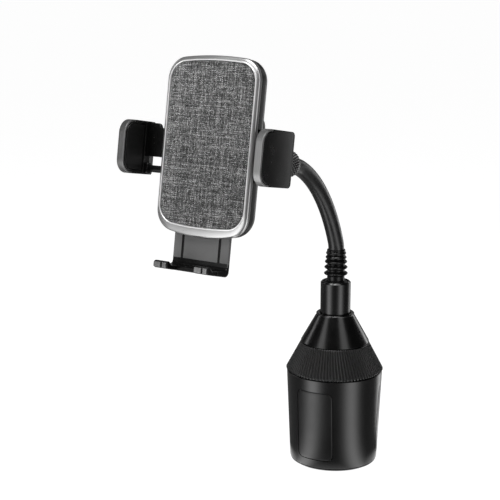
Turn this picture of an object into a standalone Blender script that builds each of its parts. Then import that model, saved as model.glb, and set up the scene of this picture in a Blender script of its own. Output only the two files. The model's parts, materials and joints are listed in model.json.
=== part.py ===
"""Car phone mount: a cup-holder base whose three grips spread as a knurled ring is turned, a bendable neck,
a ball joint and a charging head with two side jaws and a pull-out foot.

Frame: +Z up, origin at the centre of the base's underside, the head faces -Y. Lengths below are millimetres.
"""
import math

import bmesh
import bpy
from mathutils import Matrix, Vector

MM = 0.001
GAP = 0.3                       # between touching pieces

# ---------------------------------------------------------------- driving dimensions (mm, degrees)
# cup-holder base
BASE_R0, BASE_R1 = 29.8, 32.6   # outer radius of the shell at the bottom and at the top
SHELL_Z0, SHELL_Z1 = 1.8, 64.0
SHELL_WALL = 1.8
RING_R0, RING_R1 = 33.0, 23.3   # knurled ring, bottom and top
RING_Z0, RING_Z1 = 64.6, 83.4
CONE_R1 = 12.9                  # top of the plain cone
CONE_Z1 = 102.9
SLEEVE_R, SLEEVE_TOP, MOUTH_FLOOR = 10.2, 125.8, 122.6
PAD_ANGLES = (-84.0, 36.0, 156.0)
PAD_HALF_W, PAD_Z0, PAD_Z1, PAD_CORNER = 12.7, 7.5, 55.5, 4.0
PAD_TRAVEL = 12.0
CAM_TURN = 100.0                # turn of the ring for the full pad travel
PIN_R, PIN_AT = 2.0, 12.0       # cam pin radius, and its distance from the axis with the pads in
ARM_W = 9.0
CAM_Z0, CAM_Z1 = 53.0, 55.5

# neck
NECK_R = 5.3
NECK_P0 = Vector((0.0, 0.0, 150.0))
NECK_P1 = Vector((0.0, -6.0, 169.0))
NECK_P2 = Vector((0.0, -21.5, 199.0))
NECK_P3 = Vector((0.0, -48.9, 209.8))
NECK_HINGES = 4
KNUCKLE_R = 3.4                 # ball at the end of each neck segment
BELLOWS_RIBS = ((125.0, 7.9), (131.0, 8.1), (135.2, 7.9), (139.0, 7.6), (142.0, 7.15), (144.9, 6.9))

# head: u to the right, v up, n out of the charging face
HEAD_AT = Vector((0.0, -140.87, 233.79))
HEAD_TILT, HEAD_ROLL = 10.08, 0.87
BEZEL_W, BEZEL_TOP, BEZEL_BOTTOM = 32.8, 50.6, 53.5
FACE_W, FACE_TOP, FACE_BOTTOM, FACE_BOW = 30.1, 47.6, 47.6, 2.1
HEAD_BACK = -12.3
BALL_R, BALL_N = 8.5, -44.0     # ball joint, on the head's axis
BOSS_N = -27.0

# jaws
JAW_IN, JAW_OUT = 46.2, 51.5
JAW_FRONT, JAW_REAR = 17.5, -13.6
JAW_TOP, JAW_LOW = 10.8, -20.6
JAW_CORNER = 8.0
JAW_TRAVEL = 9.0
PINION_R, PINION_TEETH = 6.0, 12

# foot
FOOT_HALF_W = 20.0
FOOT_TOP, FOOT_SHELF = -34.0, -70.4
FOOT_FRONT = 14.0

# ---------------------------------------------------------------- scene
for old in list(bpy.data.objects):
    bpy.data.objects.remove(old, do_unlink=True)
PARTS = bpy.data.collections.new("car_phone_mount")
CUTTERS = bpy.data.collections.new("cutters")
bpy.context.scene.collection.children.link(PARTS)
bpy.context.scene.collection.children.link(CUTTERS)


def material(name, colour, roughness, metallic=0.0):
    m = bpy.data.materials.new(name)
    m.use_nodes = True
    shader = m.node_tree.nodes["Principled BSDF"]
    shader.inputs["Base Color"].default_value = (*colour, 1.0)
    shader.inputs["Roughness"].default_value = roughness
    shader.inputs["Metallic"].default_value = metallic
    m.diffuse_color = (*colour, 1.0)
    return m


BLACK = material("satin_black_plastic", (0.018, 0.018, 0.019), 0.38)
GLOSS = material("gloss_black_plastic", (0.010, 0.010, 0.011), 0.18)
RUBBER = material("black_rubber", (0.022, 0.022, 0.022), 0.72)
SILVER = material("satin_silver", (0.72, 0.72, 0.73), 0.30, 0.9)
TRIM = material("grey_metal_trim", (0.36, 0.36, 0.37), 0.36, 0.8)
FABRIC = material("heather_fabric", (0.13, 0.13, 0.135), 0.92)
STEEL = material("steel", (0.58, 0.58, 0.60), 0.32, 1.0)
COPPER = material("copper", (0.80, 0.42, 0.24), 0.35, 1.0)
FERRITE = material("ferrite", (0.055, 0.055, 0.060), 0.62)
BOARD = material("circuit_board", (0.02, 0.16, 0.07), 0.50)
NYLON = material("white_nylon", (0.74, 0.73, 0.70), 0.45)


# ---------------------------------------------------------------- shape helpers
def empty(name, matrix, parent=None):
    e = bpy.data.objects.new(name, None)
    e.empty_display_size = 0.01
    PARTS.objects.link(e)
    e.parent = parent
    e.matrix_basis = matrix
    return e


def add(name, mesh, mat, parent=None, at=(0, 0, 0), turn=(0, 0, 0), cutter=False):
    o = bpy.data.objects.new(name, mesh)
    (CUTTERS if cutter else PARTS).objects.link(o)
    o.parent = parent
    o.location = Vector(at) * MM
    o.rotation_euler = [math.radians(a) for a in turn]
    if mat:
        mesh.materials.append(mat)
    if cutter:
        o.hide_render = True
        o.display_type = "WIRE"
    return o


def turned(name, profile, mat, steps=48, **place):
    """A turned piece. profile is (radius, height): down the outer side, and back up the bore if it has one."""
    mesh = bpy.data.meshes.new(name)
    bm = bmesh.new()
    verts = [bm.verts.new((r * MM, 0, z * MM)) for r, z in profile]
    for a, b in zip(verts, verts[1:]):
        bm.edges.new((a, b))
    if profile[0][0] > 0:
        bm.edges.new((verts[-1], verts[0]))
    bm.to_mesh(mesh)
    bm.free()
    o = add(name, mesh, mat, **place)
    m = o.modifiers.new("turn", "SCREW")
    m.steps = m.render_steps = steps
    m.use_merge_vertices = True
    m.merge_threshold = 0.00001
    m.use_smooth_shade = True
    return o


def plate(name, loops, z0, z1, mat, **place):
    """A flat outline from z0 to z1. Loops after the first are holes."""
    curve = bpy.data.curves.new(name + "_outline", "CURVE")
    curve.dimensions = "2D"
    curve.fill_mode = "BOTH"
    curve.extrude = (z1 - z0) / 2 * MM
    for loop in loops:
        s = curve.splines.new("POLY")
        s.points.add(len(loop) - 1)
        for p, (x, y) in zip(s.points, loop):
            p.co = (x * MM, y * MM, 0, 1)
        s.use_cyclic_u = True
    outline = bpy.data.objects.new(name + "_outline", curve)
    PARTS.objects.link(outline)
    bpy.context.view_layer.update()
    mesh = bpy.data.meshes.new_from_object(outline.evaluated_get(bpy.context.evaluated_depsgraph_get()))
    mesh.name = name
    bpy.data.objects.remove(outline)
    bpy.data.curves.remove(curve)
    bm = bmesh.new()
    bm.from_mesh(mesh)
    bmesh.ops.remove_doubles(bm, verts=bm.verts, dist=0.000002)
    bmesh.ops.recalc_face_normals(bm, faces=bm.faces)
    bmesh.ops.translate(bm, verts=bm.verts, vec=(0, 0, (z0 + z1) / 2 * MM))
    bm.to_mesh(mesh)
    bm.free()
    mesh.materials.clear()
    return add(name, mesh, mat, **place)


def block(name, low, high, mat, **place):
    mesh = bpy.data.meshes.new(name)
    bm = bmesh.new()
    bmesh.ops.create_cube(bm, size=1.0)
    size = [(b - a) * MM for a, b in zip(low, high)]
    bmesh.ops.scale(bm, verts=bm.verts, vec=size)
    bmesh.ops.translate(bm, verts=bm.verts, vec=[(a + b) / 2 * MM for a, b in zip(low, high)])
    bm.to_mesh(mesh)
    bm.free()
    return add(name, mesh, mat, **place)


def drum(name, r, z0, z1, mat, sides=24, **place):
    """A plain round bar along local Z."""
    mesh = bpy.data.meshes.new(name)
    bm = bmesh.new()
    bmesh.ops.create_cone(bm, cap_ends=True, segments=sides, radius1=r * MM, radius2=r * MM, depth=(z1 - z0) * MM)
    bmesh.ops.translate(bm, verts=bm.verts, vec=(0, 0, (z0 + z1) / 2 * MM))
    bm.to_mesh(mesh)
    bm.free()
    o = add(name, mesh, mat, **place)
    mesh.shade_smooth()
    mesh.set_sharp_from_angle(angle=math.radians(40))
    return o


def combine(target, other, how="DIFFERENCE"):
    m = target.modifiers.new(how.lower(), "BOOLEAN")
    m.operation = how
    m.solver = "EXACT"
    m.object = other
    return target


def bevel(o, width, segments=1, angle=50):
    m = o.modifiers.new("edges", "BEVEL")
    m.width = width * MM
    m.segments = segments
    m.limit_method = "ANGLE"
    m.angle_limit = math.radians(angle)
    return o


def arc(cx, cy, r, a0, a1, n):
    return [(cx + r * math.cos(math.radians(a0 + (a1 - a0) * i / n)),
             cy + r * math.sin(math.radians(a0 + (a1 - a0) * i / n))) for i in range(n + 1)]


def rounded(x0, y0, x1, y1, r, n=4):
    return (arc(x1 - r, y1 - r, r, 0, 90, n) + arc(x0 + r, y1 - r, r, 90, 180, n)
            + arc(x0 + r, y0 + r, r, 180, 270, n) + arc(x1 - r, y0 + r, r, 270, 360, n))


def bowed(half, top, bottom, bow_top, bow_bottom, r, n=4, edge=4):
    """The head's outline: straight sides, bowed top and bottom edges, and rounded corners tangent to both."""
    def quarter(height, bow):
        lean = 0.0
        for _ in range(8):
            u = half - r + r * math.sin(lean)
            lean = math.atan(2 * bow * u / half ** 2)
        centre = height - bow * (u / half) ** 2 - r * math.cos(lean)
        pts = arc(half - r, centre, r, 0, 90 - math.degrees(lean), n)
        return pts + [(u * (1 - i / edge), height - bow * (u * (1 - i / edge) / half) ** 2) for i in range(1, edge + 1)]
    up, down = quarter(top, bow_top), quarter(bottom, bow_bottom)
    return (up + [(-x, y) for x, y in reversed(up[:-1])]
            + [(-x, -y) for x, y in down] + [(x, -y) for x, y in reversed(down[:-1])])


def sphere_arc(r, a0, a1, n, centre=0.0):
    """Points of a circle about (0, centre) in a turned profile; angles are measured from the axis's upper end."""
    return [(max(0.0, r * math.sin(math.radians(a0 + (a1 - a0) * i / n))),
             centre + r * math.cos(math.radians(a0 + (a1 - a0) * i / n))) for i in range(n + 1)]


# ---------------------------------------------------------------- frames
WORLD = Matrix.Identity(4)
base = empty("base_frame", WORLD)
head_matrix = (Matrix.Translation(HEAD_AT * MM) @ Matrix.Rotation(math.radians(90 - HEAD_TILT), 4, "X")
               @ Matrix.Rotation(math.radians(HEAD_ROLL), 4, "Z"))
head = empty("head_frame", head_matrix)
ball = empty("ball_frame", Matrix.Translation((0, 0, BALL_N * MM)), head)


def shell_r(z):
    return BASE_R0 + (BASE_R1 - BASE_R0) * z / SHELL_Z1


# ---------------------------------------------------------------- cup-holder base
turned("non_slip_foot", [(0, 1.2), (24.6, 1.2), (25.0, 0.9), (25.0, 0.0), (0, 0.0)], RUBBER, steps=32, parent=base)
turned("base_bottom_cap", [(0, 3.4), (25.4, 3.4), (25.4, 6.4), (27.5, 6.4), (27.5, 1.5), (29.5, 1.5), (29.5, 0.9),
                           (29.1, 0.4), (25.3, 0.4), (25.3, 1.5), (0, 1.5)], BLACK, steps=36, parent=base)

shell = turned("base_shell", [(shell_r(SHELL_Z1) - 0.5, SHELL_Z1), (shell_r(SHELL_Z1), SHELL_Z1 - 0.5), (shell_r(SHELL_Z0), SHELL_Z0),
                              (shell_r(SHELL_Z0) - SHELL_WALL, SHELL_Z0), (shell_r(SHELL_Z1) - SHELL_WALL, SHELL_Z1)],
               BLACK, steps=40, parent=base)

pad_frames = [empty(f"pad_frame_{i + 1}", Matrix.Rotation(math.radians(a), 4, "Z"), base) for i, a in enumerate(PAD_ANGLES)]
for i, frame in enumerate(pad_frames):
    window = plate(f"window_cutter_{i + 1}", [rounded(-PAD_HALF_W - GAP, PAD_Z0 - GAP, PAD_HALF_W + GAP, PAD_Z1 + GAP, PAD_CORNER + GAP)],
                   10, 40, None, parent=frame, turn=(90, 0, 90), cutter=True)
    combine(shell, window)


def conical_layer(name, depth0, depth1, mat, **place):
    """A layer of the base's conical wall, between two depths under its outer surface."""
    z0, z1 = PAD_Z0 - 3, PAD_Z1 + 3
    return turned(name, [(shell_r(z1) - depth0, z1), (shell_r(z0) - depth0, z0), (shell_r(z0) - depth1, z0), (shell_r(z1) - depth1, z1)],
                  mat, steps=40, **place)


def arm_profile(name, z0, z1, frame):
    return block(name, (PIN_AT - 3.2, -ARM_W / 2, z0), (shell_r(z0) - 2.6, ARM_W / 2, z1), None, parent=frame, cutter=True)


for i, frame in enumerate(pad_frames):
    outline = rounded(-PAD_HALF_W, PAD_Z0, PAD_HALF_W, PAD_Z1, PAD_CORNER)
    tool = plate(f"pad_outline_{i + 1}", [outline], 10, 40, None, parent=frame, turn=(90, 0, 90), cutter=True)
    grip = conical_layer(f"pad_grip_{i + 1}", 0.0, 1.3, RUBBER, parent=frame)
    combine(grip, tool, "INTERSECT")
    carrier = conical_layer(f"pad_carrier_{i + 1}", 1.3 + GAP, 3.7, BLACK, parent=frame)
    combine(carrier, tool, "INTERSECT")
    for z0, z1 in ((13.0, 18.0), (46.0, 51.0)):
        combine(carrier, arm_profile(f"pad_arm_{i + 1}_{int(z0)}", z0, z1, frame), "UNION")
    pin = drum(f"pad_pin_{i + 1}", PIN_R, 50.0, CAM_Z1 + 0.8, None, sides=16, parent=frame, at=(PIN_AT, 0, 0), cutter=True)
    combine(carrier, pin, "UNION")


def slide_frame(name, z0, floor, top, r):
    """A disc with three radial channels, in which the pads' arms slide."""
    o = turned(name, [(r, top), (r, z0), (4.5 + GAP, z0), (4.5 + GAP, top)], NYLON, steps=32, parent=base)
    for i, frame in enumerate(pad_frames):
        combine(o, block(f"{name}_channel_{i + 1}", (PIN_AT - 3.2 - 0.6, -ARM_W / 2 - GAP, floor), (40, ARM_W / 2 + GAP, top + 5),
                         None, parent=frame, cutter=True))
    return o


slide_frame("slide_frame_lower", 3.7, 12.7, 18.3, 25.0)
slide_frame("slide_frame_upper", 43.0, 45.7, 51.3, 25.6)
turned("centre_column", [(4.5, 97.5), (4.5, 42.7), (8.0, 42.7), (8.0, 39.5), (4.5, 38.0), (4.5, 3.7), (2.4, 3.7), (2.4, 97.5)],
       STEEL, steps=16, parent=base)

# turning ring, with the cam disc that drives the pads
ring_slope = (RING_R0 - RING_R1) / (RING_Z1 - RING_Z0)
turned("knurled_ring", [(RING_R1, RING_Z1), (RING_R0, RING_Z0 + 0.5), (RING_R0 - 0.6, RING_Z0), (27.7, RING_Z0), (27.7, RING_Z0 + 2.4),
                        (RING_R0 - 2.6 - 2.4 * ring_slope, RING_Z0 + 2.4), (RING_R1 - 2.4, RING_Z1)], BLACK, steps=40, parent=base)


def cam_slot(start):
    """Outline of one spiral slot: its radius grows by PAD_TRAVEL over CAM_TURN, against the ring's turning direction."""
    n, half = 8, PIN_R + 0.38
    def centre(t):
        a, r = math.radians(start - CAM_TURN * t), PIN_AT + PAD_TRAVEL * t
        return Vector((r * math.cos(a), r * math.sin(a)))
    def side(t, s):
        d = (centre(t + 1e-4) - centre(t - 1e-4)).normalized()
        return centre(t) + Vector((-d.y, d.x)) * half * s, d
    left = [side(i / n, 1)[0] for i in range(n + 1)]
    right = [side(i / n, -1)[0] for i in range(n + 1)]
    def cap(t, sign):
        p, d = centre(t), side(t, 1)[1]
        a = math.degrees(math.atan2(d.y, d.x))
        return arc(p.x, p.y, half, a + 90 * sign, a + 90 * sign - 180, 4)[1:-1]
    end = cap(1, 1)
    begin = cap(0, -1)
    return [tuple(p) for p in left] + end + [tuple(p) for p in reversed(right)] + begin


cam = plate("cam_disc", [arc(0, 0, 27.2, 0, 360, 32)[:-1], arc(0, 0, 7.0, 0, 360, 16)[:-1]] + [cam_slot(a) for a in PAD_ANGLES],
            CAM_Z0, CAM_Z1, NYLON, parent=base)
cam_rim = turned("cam_rim", [(27.2, 70.0), (27.2, CAM_Z1 - 0.5), (26.5, CAM_Z1 - 0.5), (26.5, 70.0)], None, steps=32, parent=base, cutter=True)
combine(cam, cam_rim, "UNION")

# cone with the hub that carries it on the column, and the sleeve that holds the neck
turned("upper_cone", [(10.5, CONE_Z1 + 0.9), (CONE_R1 - 0.3, CONE_Z1 + 0.9), (CONE_R1 + 0.2, CONE_Z1), (CONE_R1 + 0.1, CONE_Z1 - 0.6), (RING_R1, RING_Z1 + 0.5), (RING_R1 - 1.2, RING_Z1 + 0.4),
                      (20.4, RING_Z1 + 0.4), (20.4, 79.0), (18.8, 79.0), (18.8, 85.0), (10.2, 98.0), (6.5, 98.0), (6.5, 51.7), (4.5 + GAP, 51.7),
                      (4.5 + GAP, 100.4), (10.5, 100.4)], BLACK, steps=32, parent=base)
turned("neck_sleeve", [(SLEEVE_R - 1.2, SLEEVE_TOP), (SLEEVE_R, SLEEVE_TOP - 1.1), (SLEEVE_R, 100.8), (5.9, 100.8), (5.9, MOUTH_FLOOR), (8.5, MOUTH_FLOOR), (8.5, SLEEVE_TOP)],
       BLACK, steps=32, parent=base)

# ---------------------------------------------------------------- neck
profile = [(5.2, 147.9), (5.8, 147.5)]
for z, r in reversed(BELLOWS_RIBS):
    profile += [(r, z + 0.75), (r, z - 0.75)]
    profile += [(5.9, z - 1.75)]
profile[-1] = (6.4, 123.7)
profile += [(6.4, MOUTH_FLOOR + 0.3), (5.6, MOUTH_FLOOR + 0.3), (5.6, 108.0), (4.5, 108.0), (4.5, 147.9)]
turned("bellows", profile, RUBBER, steps=20, parent=base)


def bezier(t):
    s = 1 - t
    return NECK_P0 * s ** 3 + NECK_P1 * 3 * s * s * t + NECK_P2 * 3 * s * t * t + NECK_P3 * t ** 3


def along(distance):
    """The point of the neck's centreline at a distance from its start."""
    done, last = 0.0, bezier(0)
    for i in range(1, 401):
        p = bezier(i / 400)
        step = (p - last).length
        if done + step >= distance:
            return last.lerp(p, (distance - done) / step)
        done, last = done + step, p
    return last


NECK_LENGTH = sum((bezier((i + 1) / 400) - bezier(i / 400)).length for i in range(400))
SPACING = (NECK_LENGTH - 9.5 - 1.2) / (NECK_HINGES - 1)
hinges = [Vector((0, 0, 151.2))] + [along(1.2 + SPACING * i) for i in range(1, NECK_HINGES)]
BALL_AT = (head_matrix @ Vector((0, 0, BALL_N * MM))) / MM
ends = hinges[1:] + [BALL_AT]


def towards(name, a, b):
    """An empty at a whose Z axis points to b and whose X axis is the world's."""
    z = (b - a).normalized()
    x = (Vector((1, 0, 0)) - z * z.x).normalized()
    y = z.cross(x)
    m = Matrix((x, y, z)).transposed().to_4x4()
    return empty(name, Matrix.Translation(a * MM) @ m, base)


def knuckle(length):
    """Top of a neck segment: the ball about the hinge, its stem, and the shoulder below."""
    return sphere_arc(KNUCKLE_R, 0, 148, 4, length) + [(1.7, length - 4.2), (4.7, length - 4.6), (NECK_R, length - 5.2)]


SOCKET = [(NECK_R, 0.6), (4.7, -0.8)] + sphere_arc(KNUCKLE_R + GAP, 102, 0, 4)

ROOT = hinges[0].z - 104.0
turned("neck_root", sphere_arc(KNUCKLE_R, 0, 148, 4, ROOT) + [(1.7, ROOT - 4.2), (3.8, ROOT - 4.6), (4.2, ROOT - 5.0), (4.2, 0.0), (0, 0.0)],
       STEEL, steps=16, parent=base, at=(0, 0, 104.0))
segments = []
for i in range(NECK_HINGES - 1):
    length = (ends[i] - hinges[i]).length
    frame = towards(f"neck_frame_{i + 1}", hinges[i], ends[i])
    segments.append(turned(f"neck_segment_{i + 1}", knuckle(length) + SOCKET, RUBBER, steps=16, parent=frame))

end_length = (BALL_AT - hinges[-1]).length
end_frame = towards("neck_end_frame", hinges[-1], BALL_AT)
COLLAR_Z0 = 13.2
COLLAR_Z1 = end_length - 24.3
turned("neck_end_core", [(0, COLLAR_Z1 - 2.0), (3.9, COLLAR_Z1 - 2.0), (3.9, COLLAR_Z0 - 0.3), (NECK_R, COLLAR_Z0 - 0.3)] + SOCKET, RUBBER, steps=16, parent=end_frame)
turned("knurled_collar", [(8.2, COLLAR_Z1), (9.0, COLLAR_Z1 - 0.8), (9.0, COLLAR_Z0 + 7.6), (8.3, COLLAR_Z0 + 4.4), (6.6, COLLAR_Z0 + 1.2), (5.7, COLLAR_Z0), (4.2, COLLAR_Z0),
                          (4.2, COLLAR_Z1)], BLACK, steps=24, parent=end_frame)
turned("ball_stud", sphere_arc(BALL_R, 0, 159.5, 6, end_length) + [(3.0, end_length - 14.0), (4.2, end_length - 15.6), (8.4, end_length - 22.6),
                                                                (8.4, COLLAR_Z1 + GAP), (0, COLLAR_Z1 + GAP)], STEEL, steps=24, parent=end_frame)

# ---------------------------------------------------------------- ball joint (Z of the ball frame points out of the charging face)
turned("socket_liner", sphere_arc(9.6, 96, 118, 2) + sphere_arc(8.8, 118, 96, 2), NYLON, steps=24, parent=ball)
turned("pressure_cup", sphere_arc(9.6, 14, 68, 4) + sphere_arc(8.8, 68, 14, 4), NYLON, steps=24, parent=ball)
cavity = sphere_arc(9.9, 88, 16, 5)
turned("ball_socket", [(15.0, BOSS_N - BALL_N - GAP), (15.0, BOSS_N - BALL_N - 2.3), (12.0, BOSS_N - BALL_N - 2.8), (12.0, 0.9), (11.6, 0.5)]
       + cavity + [(2.7, BOSS_N - BALL_N - GAP)], BLACK, steps=28, parent=ball)
turned("lock_nut", [(13.4, 11.6), (14.2, 10.8), (14.2, -1.0), (11.6, -6.6), (8.7, -6.6)] + sphere_arc(9.9, 127, 94, 3) + [(12.3, -0.2), (12.3, 11.6)],
       BLACK, steps=28, parent=ball)

# ---------------------------------------------------------------- head
outer = bowed(BEZEL_W, BEZEL_TOP, BEZEL_BOTTOM, 2.6, 4.6, 13.0)
face = bowed(FACE_W, FACE_TOP, FACE_BOTTOM, FACE_BOW, FACE_BOW, 11.0)
inner = bowed(FACE_W - GAP, FACE_TOP - GAP, FACE_BOTTOM - GAP, FACE_BOW, FACE_BOW, 10.7)
bevel(plate("bezel", [outer, face], -3.2, 0.3, SILVER, parent=head), 0.7)
plate("fabric_face", [inner], -0.6, 0.0, FABRIC, parent=head)
plate("front_plate", [inner], -2.0, -0.9, BLACK, parent=head)
plate("charging_coil", [arc(0, 0, 22, 0, 360, 32)[:-1], arc(0, 0, 10, 0, 360, 20)[:-1]], -2.8, -2.3, COPPER, parent=head)
plate("ferrite_sheet", [rounded(-24, -24, 24, 24, 4)], -3.3, -3.0, FERRITE, parent=head)


def tray(name, outline, back, front, wall, edge, mat, segments=3, **place):
    """An open-fronted shell: the outline drawn at the back, its walls raised, the back edge rounded, then thickened inwards."""
    mesh = bpy.data.meshes.new(name)
    bm = bmesh.new()
    verts = [bm.verts.new((x * MM, y * MM, back * MM)) for x, y in outline]
    floor = bm.faces.new(verts)
    rim = list(floor.edges)
    raised = bmesh.ops.extrude_edge_only(bm, edges=rim)["geom"]
    bmesh.ops.translate(bm, verts=[g for g in raised if isinstance(g, bmesh.types.BMVert)], vec=(0, 0, (front - back) * MM))
    bmesh.ops.bevel(bm, geom=rim, offset=edge * MM, segments=segments, profile=0.5, affect="EDGES", clamp_overlap=True)
    bmesh.ops.recalc_face_normals(bm, faces=bm.faces)
    floor_normal = max((f for f in bm.faces), key=lambda f: f.calc_area()).normal
    if floor_normal.z > 0:
        bmesh.ops.reverse_faces(bm, faces=bm.faces)
    bm.to_mesh(mesh)
    bm.free()
    o = add(name, mesh, mat, **place)
    m = o.modifiers.new("wall", "SOLIDIFY")
    m.thickness = wall * MM
    m.offset = -1
    m.use_even_offset = True
    return o


cover = tray("rear_cover", bowed(BEZEL_W - 0.2, BEZEL_TOP - 0.2, BEZEL_BOTTOM - 0.2, 2.6, 4.6, 12.8), HEAD_BACK, -3.5, 1.6, 6.0, BLACK, parent=head)
PLATE_N0, PLATE_N1 = -5.9, -3.9
ROD_V, ROD_N, ROD_R = -16.9, -6.1, 2.1
for s, tag in ((1, "right"), (-1, "left")):
    combine(cover, block(f"arm_slot_{tag}", (min(27 * s, 37 * s), -10.2, -6.3), (max(27 * s, 37 * s), 10.6, 2), None, parent=head, cutter=True))
    combine(cover, block(f"rod_slot_{tag}", (min(24 * s, 37 * s), -19.4, -8.6), (max(24 * s, 37 * s), -14.4, 2), None, parent=head, cutter=True))
combine(cover, block("foot_slot", (-20.4, -58, -5.9), (20.4, -42, 2), None, parent=head, cutter=True))
combine(cover, drum("wire_hole", 5.0, -20, -9, None, sides=20, parent=head, cutter=True))
screws = [(-21.5, 36.0), (21.5, 36.0), (-21.5, -38.0), (21.5, -38.0)]
for i, (u, v) in enumerate(screws):
    combine(cover, drum(f"screw_hole_{i + 1}", 2.5, -20, -9, None, sides=12, parent=head, at=(u, v, 0), cutter=True))
    screw = turned(f"cover_screw_{i + 1}", [(0, -5.6), (1.1, -5.6), (1.1, -10.7), (2.2, -10.7), (2.2, -11.7), (1.9, -12.0), (0, -12.0)],
                   STEEL, steps=12, parent=head, at=(u, v, 0))
    socket = drum(f"screw_socket_{i + 1}", 1.0, -13.0, -11.2, None, sides=6, parent=head, at=(u, v, 0), cutter=True)
    combine(screw, socket)

boss = tray("rear_boss", rounded(-23, -25, 23, 21, 9, 4), BOSS_N, HEAD_BACK - GAP, 1.8, 4.0, BLACK, segments=2, parent=head)
combine(boss, block("port_cutter", (-4.9, -30, -22.1), (4.9, -20, -17.9), None, parent=head, cutter=True))
combine(boss, drum("boss_wire_hole", 2.6, -32, -20, None, sides=16, parent=head, cutter=True))
plate("circuit_board", [rounded(-18, -20.5, 18, 17, 2, 2)], -17.6, -16.4, BOARD, parent=head)
usb = plate("usb_c_socket", [rounded(-4.47, -1.63, 4.47, 1.63, 1.55, 3)], 17.4, 24.6, STEEL, parent=head, at=(0, 0, -20.0), turn=(90, 0, 0))
combine(usb, plate("usb_bore", [rounded(-4.1, -1.26, 4.1, 1.26, 1.2, 3)], 18.4, 26.0, None, parent=head, at=(0, 0, -20.0), turn=(90, 0, 0), cutter=True))

# ---------------------------------------------------------------- jaw drive
def involute(x):
    return math.tan(x) - x


def pinion_outline():
    pitch, tip, root = PINION_R, PINION_R + 0.8, PINION_R - 1.1
    base_r = pitch * math.cos(math.radians(20))
    def half(r):
        return 1.25 / (2 * pitch) + involute(math.radians(20)) - involute(math.acos(min(1, base_r / r)))
    pts = []
    for k in range(PINION_TEETH):
        c = math.radians(90 + 360 / PINION_TEETH * k)
        flank = [(root, half(base_r) + 0.03), (base_r, half(base_r)), (pitch + 0.1, half(pitch + 0.1)), (tip, half(tip))]
        for r, h in flank:
            pts.append((r * math.cos(c - h), r * math.sin(c - h)))
        for r, h in reversed(flank):
            pts.append((r * math.cos(c + h), r * math.sin(c + h)))
    return pts


def rack_outline(sign):
    """A rack above (sign 1) or below (sign -1) the pinion, with a tooth space at u = 0 at rest. Body out to the arm."""
    pitch = 2 * math.pi * PINION_R / PINION_TEETH
    slope = math.tan(math.radians(20))
    tip, root = PINION_R - 0.8, PINION_R + 1.1
    low, high = -30.0, 4.6
    pts = [(low, 9.4), (low, root)]
    for k in range(-5, 2):
        c = pitch * (k + 0.5)
        if c > high - 1.2:
            continue
        pts += [(c - 0.625 - 1.1 * slope, root), (c - 0.625 + 0.8 * slope, tip), (c + 0.625 - 0.8 * slope, tip), (c + 0.625 + 1.1 * slope, root)]
    pts += [(high, root), (high, 9.4)]
    return [(x * sign, y * sign) for x, y in pts]


plate("pinion", [pinion_outline(), arc(0, 0, 1.8, 0, 360, 16)[:-1]], -8.4, -6.3, NYLON, parent=head)
drum("pinion_pin", 1.5, -10.4, -6.2, STEEL, sides=16, parent=head)

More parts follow.
